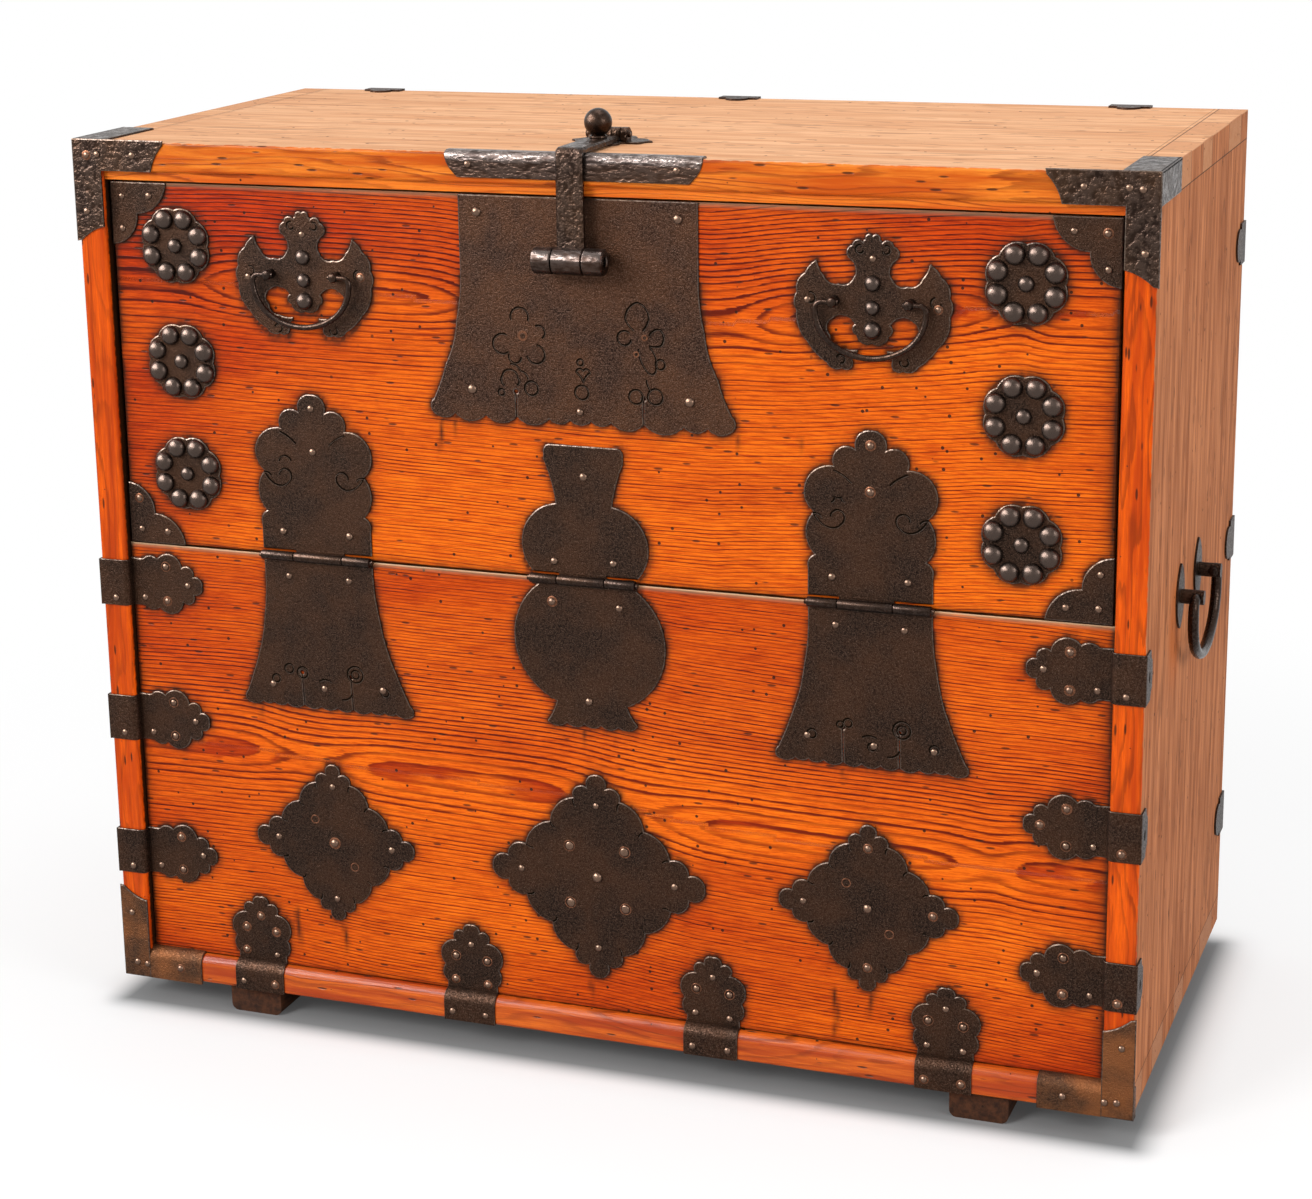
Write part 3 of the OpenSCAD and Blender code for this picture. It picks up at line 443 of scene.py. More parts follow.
def lacquer_front():
    material, s, skin, place = finish_of("red_pine")
    wood = use(s, stripes, {"Ring": s.number("ring"), "Place": place, "Waver": 0.3, "Depth": 1.0})
    line = s.times(wood["Line"], s.number("lines"), clamp=True)
    patch = s.drawn(place, (0.004, 0.01, 0.02), 3.0)
    hue = s.plus(s.number("red"), s.window(patch, 0.3, 0.7, -0.2, 0.2), clamp=True)
    pale = s.blend(hue, (0.9, 0.175, 0.005), (0.56, 0.042, 0.001))
    deep = s.blend(hue, (0.55, 0.062, 0.001), (0.26, 0.014, 0.001))
    ground = s.blend(wood["Streak"], deep, pale)
    ground = s.blend(s.window(wood["Fibre"], 0.2, 0.45, 0.5, 0.0), ground, deep)
    lines = s.blend(hue, (0.17, 0.013, 0.001), (0.065, 0.003, 0.001))
    tone = s.blend(line, ground, lines)
    flame = s.blend(wood["Streak"], (0.22, 0.013, 0.001), (0.45, 0.036, 0.002))
    tone = s.blend(s.number("blush"), tone, flame)
    mark = use(s, pores, {"Place": place, "Holes": 0.9, "Grain": (0.25, 1.0, 1.0)})["Mark"]
    rub = s.drawn(place, (0.09, 0.09, 0.05), 4.0, 0.6)
    # This darkening mixes soot, wax and drips with painted shade along the board's edges, in the gap to the
    # frame and round the plates.
    dark_share = s.times(s.number("grime"), s.window(rub, 0.25, 0.6, 0.6, 1.2), clamp=True)
    tone = s.blend(dark_share, tone, s.blend(0.88, tone, NEAR_BLACK))
    tone = s.blend(mark, tone, NEAR_BLACK)
    # A pale line is painted along the top edge of each board as the highlight on its edge.
    tone = s.blend(s.number("rub"), tone, (0.8, 0.52, 0.3))
    bare = s.blend(wood["Streak"], (0.27, 0.125, 0.055), (0.4, 0.205, 0.095))
    bare = s.blend(s.times(wood["Line"], 0.6), bare, (0.14, 0.055, 0.022))
    inside = s.window(s.parts(place)[1], FRONT + RECESS + 3, FRONT + RECESS + 6)
    tone = s.blend(inside, tone, s.blend(mark, bare, NEAR_BLACK))
    height = s.scaled(line, 0.6, s.times(wood["Fibre"], 0.5))
    height = s.minus(height, s.times(mark, 2.0))
    wire(s, skin, 0.08, Base_Color=tone, Roughness=s.window(wood["Fibre"], 0.2, 0.8, 0.3, 0.46),
         Normal=s.bump(height, 0.14 * MM))
    return material


RED_PINE = lacquer_front()

# %% [markdown]
# ## The frame's boards
# The frame is lacquered on its front edges alone. Its top and sides are bare, with a ruddy stain behind the
# side handles and darker end grain at the corners. The bare top is painted lighter and the bare sides darker,
# as painted light on the top and painted shade on the sides, and behind the lacquered edge the faces inside
# the opening are painted near-black as shade in the recess. The material could be split between faces, but
# the lacquer ran over the edge a little, so the place on the board decides: how far behind the front it lies,
# and whether it is on an outer face. The grain runs along x in the rails and the top and along z in the
# sides.


# %% Frame boards: lacquer in front, bare wood outside, painted shade inside the opening
HANDLE_STAIN = (500, FRONT + 145, 432)


def frame_board(name, along, bare_light, bare_dark, end_grain, front_light, front_dark, ring_mm, reveal=2.5,
                gloss=0.09):
    """along is the direction of the grain, x or z; the rings are counted across it."""
    material, s, skin, place = finish_of(name)
    x, y, z = s.parts(place)
    across = z if along == "x" else x
    grain = place if along == "x" else s.joined(z, y, x)
    sway = s.drawn(grain, (0.003, 0.02, 0.02), 2.0)
    count = s.scaled(s.plus(across, y), 1 / ring_mm, s.times(sway, 14.0))
    wood = use(s, stripes, {"Ring": count, "Place": grain, "Waver": 0.8, "Depth": 0.75})
    mark = use(s, pores, {"Place": grain, "Holes": 0.95, "Grain": (0.2, 1.0, 1.0)})["Mark"]
    streak = s.drawn(grain, (0.006, 0.08, 0.1), 4.0, 0.6)
    bare = s.blend(s.window(streak, 0.3, 0.7), bare_light, bare_dark)
    shade = s.blend(0.55, bare_dark, NEAR_BLACK)
    bare = s.blend(s.times(wood["Line"], 0.6), bare, shade)
    bare = s.blend(s.window(wood["Fibre"], 0.5, 0.8, 0.0, 0.4), bare, shade)
    fronts = s.blend(s.window(streak, 0.35, 0.65), front_light, front_dark)
    fronts = s.blend(s.times(wood["Streak"], 0.5), fronts, front_dark)
    fronts = s.blend(s.times(wood["Line"], 0.8), fronts, (0.18, 0.022, 0.002))
    fronts = s.blend(s.window(wood["Fibre"], 0.55, 0.8, 0.0, 0.4), fronts, (0.2, 0.025, 0.003))
    ragged = s.window(s.noise(grain, 0.15), 0.3, 0.7, -0.8, 0.8)
    edge = s.minus(s.plus(y, ragged), FRONT)
    outside = s.most(s.window(s.size(x), HALF_W - 1.2, HALF_W - 0.4),
                    s.window(z, HEIGHT + FOOT - 1.2, HEIGHT + FOOT - 0.4))
    # Behind the lacquered edge, the faces inside the opening are painted near-black as shade in the recess.
    fronts = s.blend(s.window(edge, reveal, reveal + 3.5), fronts, (0.022, 0.008, 0.003))
    behind = s.times(s.window(edge, 1.0, 2.2), outside)
    behind = s.most(behind, s.window(edge, 60.0, 90.0))
    if along == "z":
        away = s.vector("SUBTRACT", place, HANDLE_STAIN)
        off = s.vector("LENGTH", s.vector("MULTIPLY", away, (0.0, 1.2, 0.75)))
        bare = s.blend(s.window(off, 16, 52, 0.75, 0.0), bare, (0.46, 0.115, 0.022))
    cross, last = (s.size(x), HALF_W) if along == "x" else (z, HEIGHT + FOOT)
    ends = s.window(cross, last - 1.2, last - 0.4)
    bare = s.blend(s.times(ends, 0.75), bare, end_grain)
    tone = s.blend(behind, fronts, bare)
    tone = s.blend(s.times(use(s, joints, {"Place": place})["Line"], 0.85), tone, NEAR_BLACK)
    tone = s.blend(mark, tone, NEAR_BLACK)
    height = s.minus(s.scaled(wood["Line"], 0.5, wood["Fibre"]), s.times(mark, 2.5))
    wire(s, skin, gloss, Base_Color=tone, Roughness=s.add("ShaderNodeMapRange", {0: behind, 3: 0.3, 4: 0.7}),
         Normal=s.bump(height, 0.18 * MM))
    return material


# After the grain: bare wood (light, dark, end), lacquered front (light, dark), ring width, reveal and gloss.
TOP_WOOD = frame_board("top_pine", "x", (0.76, 0.425, 0.235), (0.6, 0.285, 0.135),
                       (0.44, 0.175, 0.075), (0.84, 0.24, 0.022), (0.52, 0.078, 0.004), 9.0)
LOW_WOOD = frame_board("rail_pine", "x", (0.6, 0.3, 0.15), (0.45, 0.19, 0.09),
                       (0.4, 0.155, 0.065), (0.72, 0.145, 0.01), (0.38, 0.042, 0.003), 9.0, 8.5, 0.22)
# The bare side boards are painted darker than the bare top, as painted shade on the sides and painted light
# on the top.
SIDE_WOOD = frame_board("side_pine", "z", (0.58, 0.22, 0.09), (0.29, 0.085, 0.026),
                        (0.62, 0.32, 0.165), (0.84, 0.12, 0.003), (0.46, 0.046, 0.002), 11.0)
STRIP_WOOD = frame_board("strip_pine", "x", (0.5, 0.3, 0.15), (0.4, 0.2, 0.1),
                         (0.4, 0.2, 0.1), (0.86, 0.23, 0.02), (0.6, 0.1, 0.008), 6.0, 9.0)


# %% Bare boards inside, and the runners
def inner_wood():
    """Bare boards that are seen only from behind or with the door open."""
    material, s, skin, place = finish_of("inner_pine")
    sway = s.drawn(place, (0.003, 0.02, 0.012), 2.0)
    count = s.scaled(s.parts(place)[2], 1 / 13, s.times(sway, 7.0))
    wood = use(s, stripes, {"Ring": count, "Place": place, "Waver": 0.8, "Depth": 0.6})
    mark = use(s, pores, {"Place": place, "Holes": 0.8, "Grain": (0.2, 1.0, 1.0)})["Mark"]
    stain = s.drawn(place, (0.006, 0.02, 0.012), 4.0, 0.6)
    tone = s.blend(s.window(stain, 0.3, 0.7), (0.46, 0.26, 0.13), (0.3, 0.15, 0.07))
    tone = s.blend(wood["Line"], tone, (0.2, 0.085, 0.035))
    tone = s.blend(mark, tone, NEAR_BLACK)
    wire(s, skin, 0.2, Base_Color=tone, Roughness=0.75,
         Normal=s.bump(s.minus(wood["Fibre"], mark), 0.2 * MM))
    return material


BARE_WOOD = inner_wood()


def runner_wood():
    """Rough wood near the floor, coloured nearly black."""
    material, s, skin, place = finish_of("runner_wood")
    streak = s.noise(s.stretch(place, 1.0, 0.15, 1.0), 0.12, 5.0, 0.65)
    mark = use(s, pores, {"Place": place, "Holes": 1.0, "Grain": (1.0, 0.3, 1.0)})["Mark"]
    tone = s.blend(s.window(streak, 0.3, 0.7), (0.085, 0.03, 0.012), (0.022, 0.009, 0.005))
    tone = s.blend(mark, tone, NEAR_BLACK)
    wire(s, skin, 0.15, Base_Color=tone, Roughness=0.7, Normal=s.bump(streak, 0.6 * MM))
    return material


RUNNER = runner_wood()

# %% [markdown]
# ## Pieces from plain lists
# Each piece below is a closed mesh, or several closed shells in one mesh, given in joiner's lengths. The
# helper turns it into an object at the origin, shades it smooth between sharp edges, hangs it on the body
# that carries it and hides the CAD node it stands for.


# %% Making a piece
class Work:
    """Points, faces and finishes of one piece."""

    def __init__(self):
        self.points, self.faces, self.kinds = [], [], []

    def add(self, points, faces, kind=0):
        start = len(self.points)
        self.points += [tuple(p) for p in points]
        self.faces += [tuple(start + i for i in face) for face in faces]
        self.kinds += kind if isinstance(kind, list) else [kind] * len(faces)


# %% [markdown]
# ## Checking which way faces look
# It is easy to write a face backwards, and a face that looks inwards shades wrongly and spoils an
# export. The volume of a closed shell is positive only if its faces look outwards, so each piece is
# measured once and turned if it has to be.


# %% Faces outwards
def outward(work):
    """The piece's faces, with each closed shell whose volume comes out negative turned round."""
    parent = list(range(len(work.points)))

    def root(i):
        while parent[i] != i:
            parent[i] = parent[parent[i]]
            i = parent[i]
        return i
    for face in work.faces:
        for i in face[1:]:
            parent[root(i)] = root(face[0])
    volume = {}
    for face in work.faces:
        a = work.points[face[0]]
        for i in range(1, len(face) - 1):
            b, c = work.points[face[i]], work.points[face[i + 1]]
            part = Vector(a).dot(Vector(b).cross(Vector(c)))
            volume[root(face[0])] = volume.get(root(face[0]), 0) + part
    return [f if volume[root(f[0])] > 0 else tuple(reversed(f)) for f in work.faces]


# %% Handing a piece over
def make(name, work, finishes, body, stands_for=(), sharp=19):
    """The piece as an object; edges steeper than sharp stay crisp, and the softest rims count as steep."""
    mesh = bpy.data.meshes.new(name)
    mesh.from_pydata([spot(*p) for p in work.points], [], outward(work))
    for finish in finishes:
        mesh.materials.append(finish)
    mesh.polygons.foreach_set("material_index", work.kinds)
    mesh.shade_smooth()
    mesh.set_sharp_from_angle(angle=math.radians(sharp))
    mesh.update()
    return hand_over(mesh, body, stands_for)


def hand_over(mesh, body, stands_for=()):
    """Makes the mesh an object of the same name, hangs it on its body and hides the CAD nodes it stands for.
    """
    made = bpy.data.objects.new(mesh.name, mesh)
    scene.collection.objects.link(made)
    print(mesh.name, "on", body, "with", len(mesh.polygons), "faces")
    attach(made, body)
    if stands_for:
        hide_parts(*stands_for)
    return made


# %% [markdown]
# ## Cut outlines
# A smith draws such a plate as a row of arcs, and so does this script. An outline is a list of (across,
# up, rise): rise is how far the arc to the next point bulges outwards. Only the right half is written
# down, and the left half is its mirror. The rows of small lobes along a foot have their own function,
# which also leaves the fine saw cuts that end in a drilled hole.


# %% Outlines made of arcs
def trace(outline, step=1.3):
    """The outline as a ring of points about step apart, counterclockwise."""
    ring = []
    for i, (u, v, rise) in enumerate(outline):
        a = np.array((u, v), float)
        b = np.array(outline[(i + 1) % len(outline)][:2], float)
        chord = b - a
        length = np.hypot(*chord)
        if length < 1e-6:
            continue
        if abs(rise) < 1e-3:
            ring.append(tuple(a))
            continue
        turn = 2 * math.atan2(2 * rise, length)
        radius = length / 2 / math.sin(turn)
        away = np.array((chord[1], -chord[0])) / length
        centre = (a + b) / 2 - away * radius * math.cos(turn)
        count = max(3, int(abs(2 * turn * radius) / step))
        for k in range(count):
            angle = turn * (2 * k / count - 1)
            side = math.sin(angle) * chord / length + math.cos(angle) * away
            ring.append(tuple(centre + radius * side))
    return ring


def mirrored(half):
    """The right half from its foot to its head, and then its mirror image back down."""
    half = [p if len(p) == 3 else (*p, 0) for p in half]
    whole = list(half)
    top = len(half) - 1
    if half[top][0] == 0:
        whole[top] = (*half[top][:2], half[top - 1][2])
        top -= 1
    for i in range(top, -1, -1):
        if i == 0 and half[0][0] == 0:
            break
        whole.append((-half[i][0], half[i][1], half[i - 1][2] if i else 0))
    return whole


def lobes(widths, level, depth=0.24, cuts=(), cut_top=30):
    """A row of lobes that hang from level, from left to right, with saw cuts up to a drilled hole."""
    row = []
    u = -sum(widths) / 2
    for width in widths:
        near = [c for c in cuts if abs(c - u) < 6]
        if near:
            row += [(u - 0.45, level, 0), (u - 0.45, level + cut_top, -4.4), (u + 0.45, level + cut_top, 0),
                    (u + 0.45, level, depth * width)]
        else:
            row.append((u, level, depth * width))
        u += width
    return row


def hung(widths, level, half, **cuts):
    """A plate with a row of lobes at its foot and the given half outline over it."""
    return lobes(widths, level, **cuts) + mirrored(half)[:-1]


def inset(ring, distance):
    """The ring moved inwards; sharp corners are kept within reach."""
    p = np.array(ring)
    before, after = p - np.roll(p, 1, 0), np.roll(p, -1, 0) - p

    def left(edge):
        return np.stack([-edge[:, 1], edge[:, 0]], 1) / np.maximum(np.hypot(*edge.T), 1e-9)[:, None]
    n1, n2 = left(before), left(after)
    miter = (n1 + n2) / np.maximum(1 + (n1 * n2).sum(1), 0.35)[:, None]
    return [tuple(q) for q in p + distance * miter]


def roughened(ring, amount=0.22, seed=0.0):
    """Filed by hand: the ring wanders a little."""
    out = []
    for u, v in ring:
        n = noise.noise_vector(Vector((u * 0.09, v * 0.09, seed)))
        out.append((u + amount * n.x, v + amount * n.y))
    return out


# %% [markdown]
# ## A plate from its outline
# A forged plate has a flat face and a narrow slanting rim, and it is that rim which catches the light.
# So the outline is used three times: at the back, at the foot of the rim and, moved inwards, at its
# head. The face between is filled with triangles. The rim gets the rubbed finish.


# %% Flat plates
def on_front(x0, z0, depth=RECESS):
    """Places (across, up, height) on a front face that lies depth behind the frame's."""
    return lambda u, v, h: (x0 + u, depth - h, z0 + v)


def on_front_mirrored(x0, z0):
    return lambda u, v, h: (x0 - u, RECESS - h, z0 + v)


def flat_plate(work, ring, place, thick=IRON, rim=0.9, kind=0, rim_kind=1):
    """A closed plate: flat back, low side, a rim that drops by half its width, and a flat face."""
    head = inset(ring, rim)
    n = len(ring)
    points = [place(u, v, level) for level, loop in ((0.0, ring), (thick - 0.5 * rim, ring), (thick, head))
              for u, v in loop]
    faces, kinds = [], []
    for a in range(n):
        b = (a + 1) % n
        faces += [(a, b, n + b, n + a), (n + a, n + b, 2 * n + b, 2 * n + a)]
        kinds += [kind, rim_kind]
    for a, b, c in tessellate_polygon([[Vector((u, v, 0)) for u, v in head]]):
        (ax, ay), (bx, by), (cx, cy) = head[a], head[b], head[c]
        area = (bx - ax) * (cy - ay) - (by - ay) * (cx - ax)
        if abs(area) < 1e-9:
            continue
        if area < 0:
            b, c = c, b
        faces += [(2 * n + a, 2 * n + b, 2 * n + c), (c, b, a)]
        kinds += [kind, kind]
    work.add(points, faces, kinds)


# %% [markdown]
# ## Engraved lines
# A graver cuts a groove and throws up a bright lip beside it. At this size a real groove would be thinner
# than the plate's own triangles, so each line is a pair of very low ridges that lie on the plate: a
# near-black one, painted as the shade inside the groove, and, a little below and to the right of it, a pale
# one for the lip.


# %% Lines, rings and curls on a plate
def ridge(work, path, place, width=0.9, height=0.32, kind=1, closed=False, crest=0.22):
    """A fine raised line along a path on a plate, as the lip that a graver throws up."""
    p = np.array(path, float)
    n = len(p)
    onward = (np.roll(p, -1, 0) - np.roll(p, 1, 0)) if closed else np.gradient(p, axis=0)
    side = np.stack([-onward[:, 1], onward[:, 0]], 1) / np.maximum(np.hypot(*onward.T), 1e-9)[:, None]
    points, faces = [], []
    shape = ((0.5, -0.3), (crest, height), (-crest, height), (-0.5, -0.3))
    for i in range(n):
        for share, level in shape:
            u, v = p[i] - side[i] * share * width
            points.append(place(u, v, IRON + level))
    for i in range(n if closed else n - 1):
        j = (i + 1) % n
        for k in range(4):
            m = (k + 1) % 4
            faces.append((4 * i + m, 4 * j + m, 4 * j + k, 4 * i + k))
    if not closed:
        faces += [(3, 2, 1, 0), (4 * n - 4, 4 * n - 3, 4 * n - 2, 4 * n - 1)]
    work.add(points, faces, kind)


def engrave(work, path, place, closed=False, width=2.0):
    """A graver's line: a near-black strip painted as the groove's shade, and beside it a bright lip. The
    finishes are face, edge, groove.
    """
    ridge(work, path, place, width=width, height=0.07, kind=2, closed=closed, crest=0.42)
    ridge(work, [(u + 0.8, v - 0.75) for u, v in path], place, width=0.8, height=0.24, closed=closed)


def eyes(work, place, spots, kind=2):
    """Small rings struck round the heads of rivets, rubbed until they are the colour of copper."""
    for u, v, r in spots:
        ridge(work, circle(u, v, r, 18), place, width=1.5, height=0.2, kind=kind, closed=True)


def circled(work, u, v, r, place, share=1.0, start=0):
    """A ring, or a part of one, engraved round (u, v)."""
    whole = share == 1.0
    path = curl(u, v, r, r, start, share, max(10, int(r * 3.2)))
    engrave(work, path[:-1] if whole else path, place, whole)


def bow(points):
    """A smooth line through (u, v, rise) points, left open."""
    ring = trace([(*p, 0) if len(p) == 2 else p for p in points])
    last = min(range(len(ring)), key=lambda i: math.dist(ring[i], points[-1][:2]))
    return ring[:last + 1]


def curl(u, v, r0, r1, start, turns, count=26):
    """A spiral from radius r0 to r1 about (u, v); start is in degrees and turns may be negative."""
    out = []
    for i in range(count + 1):
        share = i / count
        a = math.radians(start + 360 * turns * share)
        r = r0 + (r1 - r0) * share
        out.append((u + r * math.cos(a), v + r * math.sin(a)))
    return out


def circle(u, v, r, count):
    return curl(u, v, r, r, 0, 1, count)[:-1]


# %% Rods and turned solids
def tube(work, path, radii, sides=14):
    """A round rod along a path, closed at its ends."""
    p = np.array(path, float)
    n = len(p)
    radii = np.broadcast_to(radii, (n,))
    tangent = np.gradient(p, axis=0)
    tangent /= np.linalg.norm(tangent, axis=1)[:, None]
    up = np.array((0.0, 0.0, 1.0)) if abs(tangent[0][2]) < 0.9 else np.array((1.0, 0.0, 0.0))
    points, faces = [], []
    for i in range(n):
        up = up - tangent[i] * (up @ tangent[i])
        up /= np.linalg.norm(up)
        out = np.cross(tangent[i], up)
        for k in range(sides):
            a = 2 * math.pi * k / sides
            points.append(p[i] + radii[i] * (math.cos(a) * up + math.sin(a) * out))
    for i in range(n - 1):
        for k in range(sides):
            m = (k + 1) % sides
            faces.append((sides * (i + 1) + k, sides * (i + 1) + m, sides * i + m, sides * i + k))
    ends = [p[0] - tangent[0] * radii[0] * 0.35, p[-1] + tangent[-1] * radii[-1] * 0.35]
    points += ends
    for k in range(sides):
        m = (k + 1) % sides
        faces.append((k, m, sides * n))
        faces.append((sides * (n - 1) + m, sides * (n - 1) + k, sides * n + 1))
    work.add(points, faces)


def turned(work, origin, axis, profile, sides=28, kind=0):
    """A turned solid: profile is (along, radius) rows that start and end on the axis."""
    axis = Vector(axis).normalized()
    up = Vector((0, 0, 1)) if abs(axis.z) < 0.9 else Vector((1, 0, 0))
    out = axis.cross(up).normalized()
    up = out.cross(axis)
    origin = Vector(origin)
    points, faces = [], []
    inner = profile[1:-1]
    for along, radius in inner:
        for k in range(sides):
            a = 2 * math.pi * k / sides
            points.append(origin + axis * along + radius * (math.cos(a) * out + math.sin(a) * up))
    for i in range(len(inner) - 1):
        for k in range(sides):
            m = (k + 1) % sides
            faces.append((sides * i + k, sides * (i + 1) + k, sides * (i + 1) + m, sides * i + m))
    points += [origin + axis * profile[0][0], origin + axis * profile[-1][0]]
    last = len(points) - 2
    for k in range(sides):
        m = (k + 1) % sides
        faces.append((k, m, last))
        faces.append((last - sides + m, last - sides + k, last + 1))
    work.add(points, faces, kind)


# %% Bent strips
def bent_strip(work, path, low, high, place, thick=IRON, rim=0.45, rim_kind=1):
    """A strip of sheet bent along path, which is its back; it is thick to the left of the path."""
    p = np.array(path, float)
    n = len(p)
    seg = np.diff(p, axis=0)
    seg /= np.linalg.norm(seg, axis=1)[:, None]
    left = np.stack([-seg[:, 1], seg[:, 0]], 1)
    normals = [left[0]]
    for i in range(1, n - 1):
        m = left[i - 1] + left[i]
        normals.append(m / max(1 + left[i - 1] @ left[i], 0.4))
    normals.append(left[-1])
    points, faces, kinds = [], [], []
    for i, (lo, hi) in enumerate(zip(np.broadcast_to(low, n), np.broadcast_to(high, n))):
        section = ((lo, 0), (lo, thick - rim), (lo + rim, thick),
                   (hi - rim, thick), (hi, thick - rim), (hi, 0))
        for w, t in section:
            a, b = p[i] + normals[i] * t
            points.append(place(a, b, w))
    for i in range(n - 1):
        for k in range(6):
            m = (k + 1) % 6
            faces.append((6 * i + k, 6 * i + m, 6 * (i + 1) + m, 6 * (i + 1) + k))
            kinds.append(rim_kind if k in (1, 3) else 0)
    faces += [tuple(range(5, -1, -1)), tuple(6 * (n - 1) + k for k in range(6))]
    work.add(points, faces, kinds + [0, 0])


def turn_of(centre, radius, start, end, count):
    """Points on a part of a circle; start and end are in degrees."""
    out = []
    for i in range(count + 1):
        a = math.radians(start + (end - start) * i / count)
        out.append((centre[0] + radius * math.cos(a), centre[1] + radius * math.sin(a)))
    return out


# %% [markdown]
# ## The plates on the door
# The lock plate hangs from the door's top edge and flares to a foot of thirteen lobes. The outer hinges
# have a cloud-shaped head with two engraved curls, and the middle hinge is a gourd. The saw cuts at the
# foot of the lock plate end in a drilled hole with an engraved flower over it.

# %% Outlines on the door
LOCK_HALF = [(143, -198, 2.5), (141.5, -186, -1), (129, -154, -2.2), (117, -113, -1.2), (112, -72), (112, 0)]
CLOUD_HALF = [(56, 0), (56, 30, 2.5), (50, 42, 7.5), (51, 80, 17), (33, 122, 9.5), (13.5, 138, 6), (0, 155)]
GOURD_HALF = [(50, 2, 22), (27, 70, -1.5), (38, 110, 0), (38, 118, 2), (31, 124)]
BAT_HALF = [(0, -35.5, 4), (14, -29, 3), (15.5, -19.5, -1.5), (25, -12.5, -1.5), (35, -15.5, -4),
            (37, -30, -3), (27, -40, -1), (13, -41.5, 1), (15.5, -46, -1), (17, -52, 4), (27, -58, 3),
            (40, -54, 1.5), (57, -37, 3.5), (67, -10, 2.5), (67, 6, 3), (59.5, 23, 1), (51, 33, 1.2),
            (49, 33, -1), (43, 21.5, -3), (30, 14.5, -3), (17, 20, -1), (15, 28, -1), (20, 36, 4),
            (18, 48, 4), (8, 50, 1), (6.5, 53, 3), (0, 56.5)]
DOOR_CORNER = [(0, 0, 0), (58, 0, 8), (27, 29, 8), (0, 58, 0)]

lock_ring = trace(hung([22, 30, 30, 31, 20, 20, 19, 31, 37, 22, 24], -198, LOCK_HALF, depth=0.22,
                       cuts=(-61, 60), cut_top=21))
cloud_ring = trace(mirrored(CLOUD_HALF))
gourd_ring = trace(mirrored(GOURD_HALF))
bat_ring = trace(mirrored(BAT_HALF))
print("points in the lock plate's outline", len(lock_ring))


# %% Lock plate and its engraving
def shifted(ring, lean=0.0, move=0.0):
    """The outline moved sideways and leant over, more so towards its foot."""
    return [(u + move - lean * v / LEAF_LENGTH, v) for u, v in ring]


lock = Work()
lock_place = on_front(CENTRE, DOOR_HIGH)
flat_plate(lock, roughened(lock_ring), lock_place)
for u, v, r in ((-46, -171, 6.5), (53, -173, 6.5), (71, -172, 7), (76, -143, 4.5), (1, -145, 3),
                (2, -172, 6.5), (-75, -176, 3)):
    circled(lock, u, v, r, lock_place)
for u, v, r, share, start in ((-56, -107, 8.5, 0.62, -22), (-73, -132, 9, 0.7, 60), (-61, -143, 6, 0.55, 160),
                              (-41, -140, 8.5, 0.7, -170), (-38, -120, 6, 0.5, -60),
                              (43, -121, 6.5, 0.85, 40)):
    circled(lock, u, v, r, lock_place, share, start)
for line in (
        [(52, -114, -1), (44, -104, -3), (55, -89, -3), (66, -102, -1), (60, -114)],
        [(56, -130, 2), (64, -150, 3), (72, -148, 3), (66, -128)],
        [(66, -118, -2), (76, -112, -3), (77, -126, -1), (66, -127)], [(63, -157, 0.5), (66, -166)],
        [(-72, -170, -2), (-74, -161, -2), (-66, -155, -2), (-59, -162, -2), (-60, -169)],
        [(-66, -150, -2), (-56, -156, -2), (-49, -163)]):
    engrave(lock, bow(line), lock_place)
heart = trace(mirrored([(0, -163, -1.2), (6.5, -154, 2.6), (0, -152.5)]))
engrave(lock, [(u + 3.5, v) for u, v in heart], lock_place, True)
make("lock_plate_face", lock, [LOCK_IRON_WITH_PAINTED_LIGHT, EDGE, GROOVE_SHADE], "door", ["lock_plate"])

hearts = Work()
on_plate = on_front(CENTRE, DOOR_HIGH, FACE)
for u, v, r in ((-53, -124, 5), (62, -120, 3.2), (54, -135, 3)):
    flat_plate(hearts, circle(u, v, r, 24), on_plate, 0.35, 0.2)
    flat_plate(hearts, circle(u, v, r / 2, 16), on_plate, 0.7, 0.3, 1, 1)
make("lock_plate_flower_hearts", hearts, [COPPER, PLATE], "door")

# %% [markdown]
# ## Hinges
# A strap hinge is two leaves whose ends are rolled round a pin. The upper leaf rides on the door and
# owns the middle roll, and the lower leaf stays on the case with the outer two. The leaves stop short of
# the rolls, and a tongue reaches across, so that the door can fold down flat without the leaves meeting.

# %% Hinge leaves
KNUCKLE = 4.5
SIDE_ROLLS = (-56, -28, 22, 56)
GOURD_ROLLS = (-51, -24, 22, 51)
BELL_HALF = [(87, -146, 1.6), (85, -137, -0.5), (69.5, -98, -1.2), (60, -57, -0.8), (56, -20), (56, -CLEAR)]
BULB_HALF = [(44, -133, -1), (34, -116, 33.0), (46, -CLEAR)]
bell_ring = trace(hung([18, 12, 14, 18, 17, 17, 17, 18, 14, 12, 18], -146, BELL_HALF, depth=0.2,
                       cuts=(-25.5, 25.5), cut_top=30))
bulb_ring = trace(hung([19, 17, 16, 17, 19], -136, BULB_HALF, depth=0.22))


def roll(work, x0, start, end):
    """One roll of a leaf round the pin, a little shorter than its share of the hinge."""
    r = KNUCKLE
    long = end - start - 0.6
    turned(work, (x0 + start + 0.3, AXIS_Y, SEAM), (1, 0, 0),
           [(0, 0), (0, r - 0.7), (0.25, r - 0.2), (0.9, r), (long - 0.9, r), (long - 0.25, r - 0.2),
            (long, r - 0.7), (long, 0)], 24, 3)


